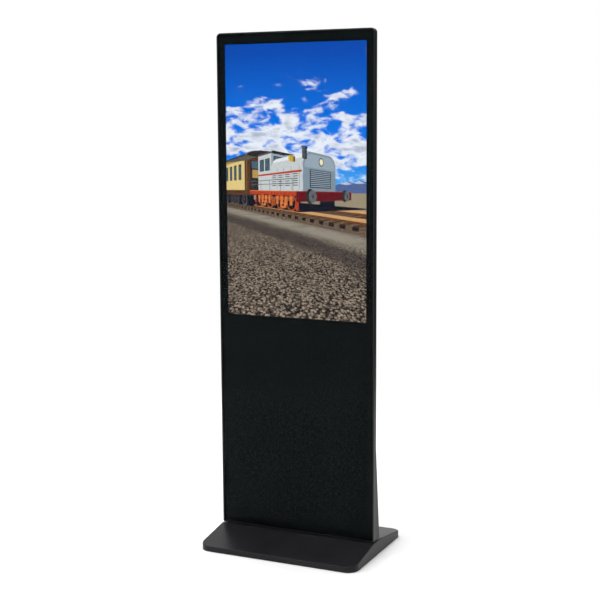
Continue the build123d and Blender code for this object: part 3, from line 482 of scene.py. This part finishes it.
def eye(across, back, up):
    """Across the engine, back along the track and up, to x and z on the display."""
    depth = engine_off + back * math.cos(turn) + across * math.sin(turn)
    side = side_step - back * math.sin(turn) + across * math.cos(turn)
    return (lit_low_x + lit_w * (0.5 + zoom * side / depth),
            horizon_z + lit_w * zoom * (up - eye_height) / depth)


print("the engine's near lower corner falls at", [round(c, 3) for c in eye(0, 0, 0)])

# %% [markdown]
# The shapes are gathered in a list from back to front. Each is given a level: one more than the
# highest level of the shapes that it may cover. So a shape always lies in front of those behind
# it, and the whole picture needs far fewer levels than it has shapes.


# %% Paints that glow, and the list of shapes
paints = {}
shapes = []


def lit_paint(name):
    """A glowing paint: black underneath, with its colour as light."""
    paint = Finish(name, Base_Color=(0, 0, 0), Roughness=0.6, IOR_Level=0.0,
                   Emission_Strength=1.0)
    paints[name] = len(paints)
    return paint


def patch(paint, corners):
    """A flat shape in that paint, one level in front of the highest shape it may cover."""
    xs, zs = zip(*corners)
    box = min(xs), max(xs), min(zs), max(zs)
    under = [level for _, _, other, level in shapes
             if other[0] < box[1] and box[0] < other[1] and other[2] < box[3] and box[2] < other[3]]
    shapes.append((paint, corners, box, max(under, default=-1) + 1))


def backdrop(paint, top):
    """A shape as wide as the lit area, from its foot to that height."""
    patch(paint, [(lit_low_x, lit_low_z), (lit_high_x, lit_low_z), (lit_high_x, top),
                  (lit_low_x, top)])


def wall(paint, *corners):
    """A flat side of the train, from corners given in its own metres."""
    patch(paint, [eye(*corner) for corner in corners])


print("a paint for each colour, and", len(shapes), "shapes so far")

# %% [markdown]
# The sky runs from a deep blue overhead to a bright one at the horizon. The clouds are noise
# alone, thickest in a band across the middle of the sky, white on top and grey below.

# %% Sky and clouds
sky = lit_paint("picture_sky")
sky_up = (sky.axes()[2] - lit_low_z) / lit_h
deep, bright, pale = (0.0, 0.065, 0.46), (0.0, 0.18, 0.84), (0.06, 0.40, 0.92)
blue = sky.mix(sky_up.ramp(0.97, 0.68, False), deep, bright)
blue = sky.mix(sky_up.ramp(0.62, 0.47), blue, pale)
puffs = sky.noise(95 * MM, 9, 0.56, place=sky.place(scale=(1, 0, 2.1), shift=(0.37, 0, 0.11)),
                  twist=0.25)
band = 1 - ((sky_up - 0.63) / 0.27).size()
torn = 0.75 * band + 3.2 * (puffs - 0.5) - 0.32
cloud = torn.ramp(0.0, 0.42)
belly = sky.noise(60 * MM, 4, 0.5, place=sky.place(scale=(1, 0, 2.4), shift=(0.3, 0, 0.2)))
thick = (0.6 * torn + 1.1 * (belly - 0.5)).ramp(0.15, 0.75)
shade = sky.mix(thick, (0.90, 0.93, 1.0), (0.36, 0.42, 0.54))
sky.set("Emission Color", sky.mix(cloud * 0.96, blue, shade))
backdrop("picture_sky", lit_high_z)
print("sky with", len(sky.tree.nodes), "nodes")

# %% [markdown]
# The ground is seen at a low angle, so stones crowd together towards the horizon. Dividing by
# the height below the horizon turns the display's flat coordinates into real ground
# coordinates, and the same cells then look near or far by themselves. It is the sum of `eye`,
# run backwards.

# %% Places on the ground
ground = lit_paint("picture_ground")
ground_x, _, ground_z = ground.axes()
below = ((horizon_z - ground_z) / lit_w).at_least(0.002)
depth = zoom * eye_height / below
side = ((ground_x - lit_low_x) / lit_w - 0.5) * depth / zoom
spot = ground.node("CombineXYZ", sockets={"X": side, "Y": depth, "Z": 0.0})
back = (depth - engine_off) * math.cos(turn) - (side - side_step) * math.sin(turn)
across = (depth - engine_off) * math.sin(turn) + (side - side_step) * math.cos(turn)
along_line = ground.node("CombineXYZ", sockets={"X": across, "Y": 0.12 * back, "Z": 0.0})
print("ground places take", len(ground.tree.nodes), "nodes")

# %% [markdown]
# Gravel is one layer of cells, a shade for each stone and dark gaps between them. Feet have worn
# a pale band beside the track with a damp one next to it, and beyond the track the gravel gives
# way to a dry plain.

# %% Gravel, worn bands and far plain
stone_size = 0.034
stones = ground.cells(stone_size, place=spot)
tone = ground.axes(ground.cells(stone_size, place=spot, out="Color"))[0]
streaks = ground.noise(0.9, 5, 0.6, place=spot)
ruts = ground.noise(0.55, 4, 0.6, place=along_line)
stone = ground.mix(tone, (0.085, 0.062, 0.045), (0.42, 0.33, 0.25))
stone = ground.mix(stones.ramp(0.40, 0.70), stone, (0.02, 0.014, 0.013))
worn = (1 - (across + 2.3 + 0.5 * (ruts - 0.5)).size()).ramp(0.0, 0.8) * 0.6
damp = (1 - ((across + 3.7 + 1.2 * (ruts - 0.5)) / 0.7).size()).ramp(0.0, 0.7) * 0.6
stone = ground.mix(worn, stone, (0.40, 0.36, 0.29))
stone = ground.mix(damp, stone, (0.022, 0.018, 0.022))
stone = ground.mix(streaks.ramp(0.45, 0.75) * 0.45, stone, (0.05, 0.04, 0.04))
plain = ground.mix(ground.noise(2.0, 3, place=spot), (0.22, 0.17, 0.11), (0.46, 0.38, 0.26))
ground.set("Emission Color", ground.mix(across.ramp(1.5, 3.2), stone, plain))
backdrop("picture_ground", horizon_z)
print("ground with", len(ground.tree.nodes), "nodes")

# %% [markdown]
# A flat colour looks printed, so each paint of the train is mottled by noise, as paint on real
# sheet metal is after years in the sun. Each has a name, a colour and how dark its spots are.


# %% Paints for the hills, the track and the train
def train_paint(name, colour, shade):
    paint = lit_paint("picture_" + name)
    mottle = paint.noise(6 * MM, 5, 0.65, place=paint.place(scale=(1, 0, 1)))
    darker = [c * shade for c in colour]
    paint.set("Emission Color", paint.mix(mottle.ramp(0.3, 0.7), darker, colour))


for name, colour, shade in (
        ("far_hills", (0.10, 0.16, 0.38), 0.7), ("snow", (0.55, 0.66, 0.86), 0.7),
        ("ballast", (0.22, 0.15, 0.10), 0.3), ("sleepers", (0.11, 0.055, 0.03), 0.4),
        ("sleeper_ends", (0.02, 0.012, 0.012), 0.5), ("rail_side", (0.20, 0.07, 0.02), 0.4),
        ("rail_top", (0.80, 0.44, 0.19), 0.6), ("shadow", (0.006, 0.008, 0.020), 0.4),
        ("cream", (0.86, 0.66, 0.26), 0.8), ("cream_shade", (0.55, 0.36, 0.10), 0.7),
        ("brown", (0.14, 0.05, 0.02), 0.5), ("roof", (0.035, 0.028, 0.028), 0.5),
        ("roof_edge", (0.14, 0.12, 0.10), 0.6), ("window", (0.10, 0.18, 0.24), 0.3),
        ("hood", (0.66, 0.69, 0.70), 0.8), ("hood_top", (0.86, 0.89, 0.91), 0.88),
        ("front", (0.24, 0.31, 0.38), 0.85), ("front_top", (0.34, 0.42, 0.50), 0.85),
        ("grille", (0.05, 0.07, 0.09), 0.6), ("red", (0.16, 0.006, 0.012), 0.6),
        ("red_light", (0.60, 0.06, 0.02), 0.65), ("orange", (0.55, 0.12, 0.03), 0.35),
        ("orange_light", (0.93, 0.26, 0.06), 0.5), ("yellow", (0.80, 0.56, 0.05), 0.8),
        ("yellow_middle", (0.52, 0.34, 0.05), 0.8), ("yellow_shade", (0.17, 0.09, 0.02), 0.7),
        ("steel", (0.16, 0.17, 0.19), 0.5), ("lamp", (0.95, 0.86, 0.55), 0.85)):
    train_paint(name, colour, shade)
print(len(paints), "paints for the picture")

# %% [markdown]
# Low hills close the view on the right. The ridge is a few points that rise and fall, given as
# shares of the display, and snow lies below two of its peaks.

# %% Hills on the horizon
ridge_points = ((0.66, 0.004), (0.74, 0.018), (0.80, 0.030), (0.86, 0.042), (0.90, 0.036),
                (0.95, 0.046), (1.0, 0.040))
ridge = [(lit_low_x + lit_w * u, horizon_z + lit_h * rise) for u, rise in ridge_points]
patch("picture_far_hills", [(ridge[-1][0], horizon_z), *ridge[::-1], (ridge[0][0], horizon_z)])
snow_w, snow_drop = 10 * MM, lit_h * 0.010
for peak in (3, 5):
    px, pz = ridge[peak]
    patch("picture_snow", [(px + share * snow_w, pz - fall * snow_drop) for share, fall in (
        (0, 0), (2.2, 1), (1, 0.6), (0, 1.3), (-1, 0.5), (-2.4, 1))])
print(len(shapes), "shapes with the hills")

# %% [markdown]
# The track is a bed of ballast, a row of sleepers and two rails. The train's shadow falls across
# it, to the right.

# %% Track
gauge, rail_near, rail_tall = 3.0, -0.2, 0.14
far_end, near_end = 70.0, -8.0
ballast_side, sleeper_side = 1.4, 0.75
sleeper_step, sleeper_wide, sleeper_top, sleeper_foot = 0.55, 0.27, 0.12, -0.02
left, right = rail_near - ballast_side, rail_near + gauge + ballast_side
wall("picture_ballast", (left, far_end, 0), (left, near_end, 0), (right, near_end, 0),
     (right, far_end, 0))
left, right = rail_near - sleeper_side, rail_near + gauge + sleeper_side
for i in range(48):
    start = near_end + 0.2 + sleeper_step * i
    end = start + sleeper_wide
    wall("picture_sleepers", (left, start, sleeper_top), (left, end, sleeper_top),
         (right, end, sleeper_top), (right, start, sleeper_top))
    wall("picture_sleeper_ends", (left, end, sleeper_foot), (left, start, sleeper_foot),
         (left, start, sleeper_top), (left, end, sleeper_top))
for x in (rail_near + gauge, rail_near):
    for paint, foot in (("picture_rail_side", 0.1), ("picture_rail_top", 0.2)):
        wall(paint, (x, far_end, foot), (x, near_end, foot), (x, near_end, foot + rail_tall),
             (x, far_end, foot + rail_tall))
engine_w, shadow_w = 3.6, 8.6
wall("picture_shadow", (rail_near + 0.2, 24, 0.2), (rail_near + 0.2, 0.2, 0.2),
     (shadow_w, -0.6, 0.02), (shadow_w, 14, 0.02))
print(len(shapes), "shapes with the track")

# %% [markdown]
# Nearly everything on the train is an upright rectangle that faces one of two ways, or a wheel.
# With a function for each, the train becomes a list of where things start and end.


# %% Sides, ends and wheels
def box_side(paint, x, y0, y1, z0, z1):
    """An upright side of the train that faces the near side of the track."""
    wall(paint, (x, y1, z0), (x, y0, z0), (x, y0, z1), (x, y1, z1))


def box_end(paint, y, x0, x1, z0, z1):
    """An upright end that faces along the track."""
    wall(paint, (x0, y, z0), (x1, y, z0), (x1, y, z1), (x0, y, z1))


def wheel(x, y, radius, paint, hub):
    """A wheel against the side of the train: a rim, a dark disc and a hub."""
    rail_height = 0.17
    for r, colour in ((radius, paint), (radius * 0.78, "picture_shadow"), (radius * 0.3, hub)):
        turns = [2 * math.pi * i / 20 for i in range(20)]
        wall(colour, *[(x, y + r * math.cos(t), rail_height + radius + r * math.sin(t))
                       for t in turns[::-1]])


print("helpers:", box_side.__name__, box_end.__name__, wheel.__name__)

# %% [markdown]
# Two carriages stand behind the engine, the far one first so that the near one covers it. Each
# is a brown and cream side with five windows, a brown end with a door, and an arched roof.

# %% Carriages
deck, sill = 1.37, 1.0
car_left, car_right, roof_over = -0.9, 4.5, 0.15
eaves, crown = 3.9, 0.62
middle, half = (car_left + car_right) / 2, (car_right - car_left) / 2 + roof_over
for start, end in ((12.0, 24.0), (5.3, 11.2)):
    box_side("picture_shadow", car_left + 0.3, start - 0.6, end + 0.8, 0.2, 1.2)
    for axle in (start + 1.0, start + 2.6, end - 2.2, end - 0.6):
        wheel(car_left + 0.3, axle, 0.46, "picture_steel", "picture_brown")
    box_side("picture_brown", car_left, start, end, sill, deck)
    box_side("picture_cream", car_left, start, end, deck, eaves)
    box_side("picture_cream_shade", car_left, start, end, eaves - 0.3, eaves)
    box_side("picture_brown", car_left - 0.01, start, start + 0.35, sill, eaves)
    for i in range(5):
        left = start + 0.95 + 0.98 * i
        box_side("picture_roof", car_left - 0.02, left, left + 0.55, 2.15, 3.35)
        box_side("picture_window", car_left - 0.03, left + 0.07, left + 0.42, 2.2, 3.25)
    box_end("picture_brown", start, car_left, car_right, sill, eaves)
    box_end("picture_roof", start - 0.01, car_left + 0.3, car_left + 1.7, deck, 3.6)
    box_end("picture_window", start - 0.02, car_left + 0.45, car_left + 1.3, 3.0, 3.55)
    box_end("picture_cream_shade", start - 0.03, car_left + 0.5, car_left + 1.25, 2.3, 2.9)
    roof_end = start - 0.1
    arch = [(middle - half * math.cos(math.pi * i / 12), roof_end,
             eaves - 0.02 + crown * math.sin(math.pi * i / 12)) for i in range(13)]
    wall("picture_roof_edge", (middle - half, end, eaves), (middle - half, roof_end, eaves),
         *arch[1:7], (middle, end, eaves + crown))
    wall("picture_roof", *[(x + (middle - x) * 0.05, y, z) for x, y, z in arch])
    box_side("picture_roof", middle - half - 0.01, roof_end, end, eaves - 0.04, eaves + 0.05)
print(len(shapes), "shapes with the carriages")

# %% [markdown]
# The engine is a plain shunter that follows no real class. It starts with what is furthest in:
# the shadow under it, four wheels, and the springs and hangers in front of them.

# %% Engine: running gear
engine_l = 5.6
box_side("picture_shadow", 0.1, 0.2, engine_l, 0.2, 1.2)
for axle in (1.0, 2.1, 3.4, 4.5):
    wheel(0.05, axle, 0.48, "picture_orange", "picture_red")
for start in (0.6, 3.0):
    box_side("picture_orange", -0.1, start, start + 1.9, 0.78, 1.0)
    for i in range(4):
        hanger = start + 0.1 + 0.48 * i
        box_side("picture_orange_light", -0.12, hanger, hanger + 0.26, 0.52, 1.04)
    box_side("picture_orange_light", -0.14, start + 0.7, start + 1.3, 0.34, 0.66)
    box_side("picture_shadow", -0.15, start + 0.9, start + 1.1, 0.44, 0.58)
box_side("picture_orange", -0.15, 2.45, 2.95, 0.4, 0.98)
box_side("picture_red_light", -0.16, 0.1, 0.35, 0.3, 1.1)
for i in range(4):
    rung = 0.25 + 0.24 * i
    box_side("picture_red_light", -0.1, 5.1, 5.4, rung, rung + 0.11)
print(len(shapes), "shapes with the running gear")

# %% [markdown]
# A deck runs round the engine on a red frame, which ends at the front in a deep beam.

# %% Engine: deck and beam
beam_left, beam_right = -0.45, 5.7
wall("picture_shadow", (beam_left, 0, deck), (beam_right, 0, deck), (beam_right, engine_l, deck),
     (beam_left, engine_l, deck))
box_side("picture_red_light", beam_left, 0.0, engine_l, 1.1, deck)
box_side("picture_orange_light", beam_left - 0.01, 0.0, engine_l, deck - 0.05, deck)
box_end("picture_red", 0.0, beam_left, beam_right, 0.78, deck)
box_end("picture_orange", -0.01, beam_left, beam_right, deck - 0.03, deck)
box_end("picture_shadow", -0.06, 1.6, 3.3, 0.2, 0.78)
print(len(shapes), "shapes with the beam")

# %% [markdown]
# The cab stands behind the hood, with two windows in its side and two that look over the hood.

# %% Engine: cab
hood_side, hood_back = 0.12, 5.2
hood_right = engine_w - hood_side
cab_front, cab_top = 3.3, 3.9
box_side("picture_hood", hood_side, cab_front, hood_back, deck, cab_top)
box_end("picture_front_top", cab_front, hood_side, hood_right, deck, cab_top)
for start in (cab_front + 0.2, cab_front + 1.0):
    box_side("picture_roof", hood_side - 0.01, start, start + 0.65, 2.75, 3.6)
    box_side("picture_window", hood_side - 0.02, start + 0.06, start + 0.59, 2.81, 3.54)
for left in (hood_side + 0.2, hood_right - 1.0):
    box_end("picture_roof", cab_front - 0.01, left, left + 0.8, 3.2, 3.75)
    box_end("picture_window", cab_front - 0.02, left + 0.06, left + 0.74, 3.26, 3.69)
eave_x, eave_y = hood_side - 0.03, cab_front - 0.2
box_side("picture_roof_edge", eave_x, eave_y, hood_back, cab_top, cab_top + 0.12)
box_end("picture_roof", eave_y, eave_x, hood_right, cab_top, cab_top + 0.16)
print(len(shapes), "shapes with the cab")

# %% [markdown]
# The hood is a flat side whose top is rounded in six strips, paler where they face the sky. Four
# doors with louvres and one red stripe finish it.

# %% Engine: hood
hood_top, round_r = 3.0, 0.75
hood_front = 0.05
round_start = hood_top - 0.2 * round_r
box_side("picture_hood", hood_side, hood_front, cab_front, deck, round_start)
for i in range(6):
    low, high = math.pi / 2 * i / 6, math.pi / 2 * (i + 1) / 6
    x0, x1 = (hood_side + round_r * (1 - math.cos(t)) for t in (low, high))
    z0, z1 = (round_start + round_r * math.sin(t) for t in (low, high))
    paint = "picture_hood" if i < 2 else "picture_hood_top"
    wall(paint, (x0, cab_front, z0), (x0, hood_front, z0), (x1, hood_front, z1),
         (x1, cab_front, z1))
for i in range(4):
    start = 0.3 + 0.75 * i
    box_side("picture_steel", hood_side - 0.01, start, start + 0.03, deck + 0.1, hood_top - 0.2)
    for j in range(6):
        z = deck + 0.3 + 0.13 * j
        box_side("picture_grille", hood_side - 0.012, start + 0.15, start + 0.62, z, z + 0.05)
box_side("picture_red_light", hood_side - 0.013, 0.1, hood_back, 2.42, 2.54)
print(len(shapes), "shapes with the hood")

# %% [markdown]
# The hood ends in a flat front with a radiator grille and one lamp in the middle, and the red
# beam below it carries two round buffers.


# %% Engine: front, lamp and buffers
def disc(paint, x, y, z, r):
    """A round face that looks along the track."""
    wall(paint, *[(x + r * math.cos(math.pi * i / 10), y, z + r * math.sin(math.pi * i / 10))
                  for i in range(20)])


rim = []
for i in range(17):
    t = math.pi * i / 16
    corner_x = (hood_side + round_r) if t > math.pi / 2 else (hood_right - round_r)
    rim.append((corner_x + round_r * math.cos(t), 0.0, round_start + round_r * math.sin(t)))
wall("picture_front", (hood_side, 0, deck), (hood_right, 0, deck), *rim)
centre = engine_w / 2
inner = [(centre + (x - centre) * 0.93, -0.01, z - 0.12) for x, _, z in rim]
wall("picture_front_top", (hood_side + 0.1, -0.01, 2.7), (hood_right - 0.1, -0.01, 2.7), *inner)
box_end("picture_grille", -0.02, centre - 1.1, centre + 1.1, 1.55, 2.6)
for i in range(9):
    z = 1.62 + 0.11 * i
    box_end("picture_front_top", -0.03, centre - 1.02, centre + 1.02, z, z + 0.05)
disc("picture_roof", centre, -0.04, 3.1, 0.25)
disc("picture_lamp", centre, -0.05, 3.1, 0.19)
buffer_z = 1.08
for x in (0.65, engine_w + 0.95):
    disc("picture_roof", x, -0.1, buffer_z, 0.42)
    disc("picture_steel", x, -0.3, buffer_z, 0.36)
    disc("picture_grille", x, -0.31, buffer_z, 0.12)
print(len(shapes), "shapes with the front")

# %% [markdown]
# An upright drum is a row of strips from light to dark, whose ends follow its curve. Drums on
# the hood make the exhaust and the filler cap, and thin strips in front of it all the handrail.


# %% Engine: exhaust, cap and handrail
def drum(x, y, z0, z1, r, light, middle, dark):
    """A round pipe or cap on the hood."""
    bulge = 0.14
    strips = (light, light, middle, light, middle, middle, dark, dark)
    for i, paint in enumerate(strips):
        s0, s1 = (-1 + 2 * k / len(strips) for k in (i, i + 1))
        lift0, lift1 = (bulge * r * math.sqrt(1 - s * s) for s in (s0, s1))
        wall(paint, (x + s0 * r, y, z0 - lift0), (x + s1 * r, y, z0 - lift1),
             (x + s1 * r, y, z1 + lift1), (x + s0 * r, y, z1 + lift0))


ridge_x, ridge_z = 1.3, hood_top + 0.8 * round_r
yellows = "picture_yellow", "picture_yellow_middle", "picture_yellow_shade"
greys = "picture_steel", "picture_grille", "picture_roof"
drum(ridge_x, 2.3, ridge_z - 0.2, ridge_z + 0.12, 0.34, *yellows)
drum(ridge_x, 1.0, ridge_z - 0.2, ridge_z + 0.5, 0.24, *greys)
drum(ridge_x, 0.99, ridge_z + 0.46, ridge_z + 0.54, 0.3, *greys)
for z in (1.75, 2.0):
    box_side("picture_steel", beam_left, 0.25, hood_back + 0.2, z, z + 0.04)
for i in range(5):
    start = 0.25 + 1.2 * i
    box_side("picture_steel", beam_left - 0.01, start, start + 0.05, deck, 2.0)
print(len(shapes), "shapes in the whole picture")

# %% [markdown]
# Every shape is cut to the lit area, so nothing runs on under the printed border, and is turned
# to face the viewer. The levels share the thin gap between the display and the touch film.

# %% The finished picture
picture_gap = 0.12 * MM
picture_y = cell_front - picture_gap
levels = max(level for _, _, _, level in shapes) + 1
step = (picture_y - film_high.y - picture_gap) / levels
picture = bmesh.new()
for paint, corners, _, level in shapes:
    flat = bmesh.new()
    verts = [flat.verts.new((x, picture_y - level * step, z)) for x, z in corners]
    bmesh.ops.contextual_create(flat, geom=verts)
    for point, outward in (((lit_low_x, 0, 0), (-1, 0, 0)), ((lit_high_x, 0, 0), (1, 0, 0)),
                           ((0, 0, lit_low_z), (0, 0, -1)), ((0, 0, lit_high_z), (0, 0, 1))):
        bmesh.ops.bisect_plane(flat, geom=flat.verts[:] + flat.edges[:] + flat.faces[:],
                               plane_co=point, plane_no=outward, clear_outer=True)
    for face in flat.faces:
        face.normal_update()
        face.material_index = paints[paint]
        if face.normal.y > 0:
            face.normal_flip()
    part = bpy.data.meshes.new("part")
    flat.to_mesh(part)
    flat.free()
    picture.from_mesh(part)
    bpy.data.meshes.remove(part)

picture_mesh = bpy.data.meshes.new("screen_picture")
picture.to_mesh(picture_mesh)
picture.free()
for name in paints:
    picture_mesh.materials.append(bpy.data.materials[name])
screen_picture = bpy.data.objects.new("screen_picture", picture_mesh)
bpy.context.collection.objects.link(screen_picture)
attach(screen_picture, "cabinet")
print(len(shapes), "shapes on", levels, "levels", round(step / MM, 3), "mm apart")

# %% [markdown]
# ## Screw heads
# The rear cover and the back pan are held by black button-head screws with a six-lobed recess.
# A cone gives the head, a bevel rounds it, and the recess is an inset of the top face that is
# pinched into lobes and pushed in.


# %% One button-head screw
def button_head(radius, height, recess):
    """A screw head on the plane z = 0 that points up, with a lobed recess."""
    head = bmesh.new()
    bmesh.ops.create_cone(head, cap_ends=True, segments=24, radius1=radius,
                          radius2=radius * 0.82, depth=height)
    bmesh.ops.translate(head, verts=head.verts[:], vec=(0, 0, height / 2))
    rim = [e for e in head.edges if all(v.co.z > height * 0.9 for v in e.verts)]
    bmesh.ops.bevel(head, geom=rim, offset=height * 0.45, segments=3, profile=0.5,
                    affect="EDGES", material=-1)
    top_face = max(head.faces, key=lambda f: f.calc_center_median().z)
    bmesh.ops.inset_region(head, faces=[top_face], thickness=radius * 0.6 - recess)
    for v in top_face.verts:
        angle = math.atan2(v.co.y, v.co.x)
        reach = recess * (1 - 0.13 * (1 - math.cos(6 * angle)))
        v.co.x, v.co.y = reach * math.cos(angle), reach * math.sin(angle)
    floor = bmesh.ops.extrude_discrete_faces(head, faces=[top_face])["faces"][0]
    bmesh.ops.translate(head, verts=floor.verts[:], vec=(0, 0, -height * 0.6))
    return head


head_r, head_h, recess_r = 4 * MM, 2 * MM, 1.5 * MM
print("a screw head is", round(2 * head_r / MM, 1), "mm wide")

# %% [markdown]
# The head is made once and copied to every screw. Where the screws are comes from the model: its
# own screws are one mesh, so its separate islands are found by walking along their edges.


# %% Copies, and where the model's screws are
def repeat(part, places):
    """Copies of one bmesh at many places, each turned to face the back."""
    turn = Matrix.Rotation(math.radians(-90), 4, "X")
    mesh = bpy.data.meshes.new("copy")
    part.to_mesh(mesh)
    part.free()
    whole = bmesh.new()
    for place in places:
        before = len(whole.verts)
        whole.from_mesh(mesh)
        whole.verts.ensure_lookup_table()
        fresh = whole.verts[before:]
        bmesh.ops.transform(whole, matrix=Matrix.Translation(place) @ turn, verts=fresh)
    bpy.data.meshes.remove(mesh)
    return whole


def islands(node):
    """The lowest and the highest corner of each separate solid of a part of the model."""
    found = bmesh.new()
    found.from_mesh(nodes[node].data)
    bmesh.ops.remove_doubles(found, verts=found.verts[:], dist=0.00001)
    left, groups = set(found.verts), []
    while left:
        stack, group = [left.pop()], []
        while stack:
            vert = stack.pop()
            group.append(vert.co.copy())
            for edge in vert.link_edges:
                other = edge.other_vert(vert)
                if other in left:
                    left.remove(other)
                    stack.append(other)
        groups.append(group)
    found.free()
    corners = [[Vector([pick(p[i] for p in group) for i in range(3)]) for pick in (min, max)]
               for group in groups]
    return sorted(corners, key=lambda low_high: tuple(low_high[0]))


print("cover screws found:", len(islands("cover_screws")))

# %% [markdown]
# The model has the screws' shanks with plain heads. Each of its two sets is replaced by button
# heads of the same size that end where the plain ones do.

# %% Button heads on the rear cover and the back pan
for node, name in (("cover_screws", "cover_button_screws"), ("pan_screws", "pan_button_screws")):
    places = [Vector(((low.x + high.x) / 2, high.y - head_h, (low.z + high.z) / 2))
              for low, high in islands(node)]
    screws = repeat(button_head(head_r, head_h, recess_r), places)
    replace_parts(finished(name, screws, black_bolts, "cabinet"), node)
    print(len(places), "screws")

# %% [markdown]
# ## Marks on the power switch
# The rocker carries the usual pair of signs, a bar for on and a ring for off, printed in white.
# Its rear is two sloping faces. Each sign is made flat, then turned to its face's own direction
# and laid a few hundredths of a millimetre above it.

# %% A bar and a ring on the rocker
mark_paint = moulded("mark_paint", (0.62, 0.62, 0.60), 0.5, 0.3 * MM, 0.004 * MM, 0.06)
mark_r, ring_line = 1.6 * MM, 0.5 * MM
marks = bmesh.new()
for upper in (True, False):
    slope = [f for f in nodes["power_rocker"].data.polygons
             if f.normal.y > 0.7 and (f.normal.z < 0) == upper]
    area = sum(f.area for f in slope)
    middle = sum((f.center * f.area for f in slope), Vector()) / area
    outward = sum((f.normal * f.area for f in slope), Vector()).normalized()
    sign = bmesh.new()
    if upper:
        bmesh.ops.create_grid(sign, x_segments=1, y_segments=1, size=mark_r)
        bmesh.ops.scale(sign, vec=(0.2, 1, 1), verts=sign.verts[:])
    else:
        bmesh.ops.create_circle(sign, cap_ends=True, segments=32, radius=mark_r)
        inner = sign.faces[:]
        bmesh.ops.inset_individual(sign, faces=inner, thickness=ring_line)
        bmesh.ops.delete(sign, geom=inner, context="FACES")
    facing = outward.to_track_quat("Z", "Y").to_matrix().to_4x4()
    lay = Matrix.Translation(middle + outward * hair) @ facing
    bmesh.ops.transform(sign, matrix=lay, verts=sign.verts[:])
    part = bpy.data.meshes.new("part")
    sign.to_mesh(part)
    sign.free()
    marks.from_mesh(part)
    bpy.data.meshes.remove(part)
finished("switch_marks", marks, mark_paint, "rocker")

# %% [markdown]
# ## Studio
# The kiosk stands on a pale round floor, wide enough to catch its shadow. Beyond the floor's edge
# there is only the white surround, so no horizon shows.

# %% Floor
floor_mesh = bmesh.new()
floor_r = 2.7
bmesh.ops.create_circle(floor_mesh, cap_ends=True, segments=96, radius=floor_r)
floor_data = bpy.data.meshes.new("floor")
floor_mesh.to_mesh(floor_data)
floor_mesh.free()
floor = bpy.data.objects.new("floor", floor_data)
bpy.context.collection.objects.link(floor)
floor_paint = Finish("floor_paint", IOR_Level=0.2, Roughness=0.7)
floor_paint.set("Base Color", (0.9, 0.9, 0.9))
floor_data.materials.append(floor_paint.material)
print("floor radius:", floor_r, "m")

# %% [markdown]
# The camera sees the surround as plain white. To the kiosk it is dim in front, to the right and
# below, and brighter behind and above, as when lamps stand behind and over an object against a
# white cloth. Below the horizon in front it is as bright as the floor, so that the glass does
# not mirror the floor's edge.


# %% Surround
class Surround(Finish):
    """The world's own network, with the same sums as a finish."""

    def __init__(self):
        world = bpy.data.worlds.new("studio")
        bpy.context.scene.world = world
        world.use_nodes = True
        self.tree = world.node_tree


studio = Surround()
towards_x, towards_y, towards_z = studio.axes(studio.node("TexCoord", out="Generated"))
from_above = 0.12 + towards_z.ramp(-0.18, 0.2)
from_behind = 0.22 + 0.78 * towards_y.ramp(-0.6, 0.5)
dark_right = 0.93 * towards_x.ramp(-0.12, 0.24) * (1 - towards_z.ramp(0.25, 0.7))
front_floor = (1 - towards_z.ramp(-0.04, 0.08)) * (1 - towards_y.ramp(-0.5, 0.0))
glow = from_above * from_behind * (1 - dark_right) + 0.9 * front_floor
camera_sees = studio.node("LightPath", out="Is Camera Ray")
strength = camera_sees + glow * (1 - camera_sees)
background = studio.tree.nodes["Background"]
studio.fill(background.inputs["Color"], (1.0, 1.0, 1.0))
studio.fill(background.inputs["Strength"], strength)
print("the surround has", len(studio.tree.nodes), "nodes")

# %% [markdown]
# Three large, soft lights shape the kiosk: a wide one overhead, one at the front on the left that
# brightens the base's left wing, and a faint one behind on the right.


# %% Lights
def soft_light(name, place, aim, size, power):
    """A square lamp that faces its aim."""
    data = bpy.data.lights.new(name, "AREA")
    data.shape, data.size, data.energy = "SQUARE", size, power
    lamp = bpy.data.objects.new(name, data)
    lamp.location = place
    lamp.rotation_euler = (Vector(aim) - Vector(place)).to_track_quat("-Z", "Y").to_euler()
    bpy.context.collection.objects.link(lamp)
    print(name, power, "W")


soft_light("overhead", (-0.6, -0.5, 5.0), (0, 0, 0), 5.0, 250)
soft_light("left_softbox", (-3.6, -2.6, 2.6), (0, 0, 0.8), 2.2, 80)
soft_light("right_softbox", (3.8, 2.2, 1.8), (0, 0, 0.6), 1.8, 5)

# %% [markdown]
# ## Camera
# The camera stands in front of the kiosk and to its right, at about eye height. It is turned by
# 25 degrees and tipped slightly down. A long lens from four metres away keeps the sides upright.

# %% Camera
PAN, TIP, LEAN = math.radians(25.008), math.radians(8.162), math.radians(-0.3226)
lens_data = bpy.data.cameras.new("camera")
lens_data.sensor_width = 36.0
lens_data.lens = 75.78
lens_data.clip_end = 100
camera = bpy.data.objects.new("camera", lens_data)
stand = Matrix.Translation((1.8498, -3.9687, 1.5092))
camera.matrix_world = stand @ Matrix.Rotation(PAN, 4, "Z") @ Matrix.Rotation(
    math.pi / 2 - TIP, 4, "X") @ Matrix.Rotation(LEAN, 4, "Z")
bpy.context.collection.objects.link(camera)
bpy.context.scene.camera = camera
bpy.context.scene.view_settings.view_transform = "Standard"
print("camera at", [round(c, 2) for c in stand.translation])
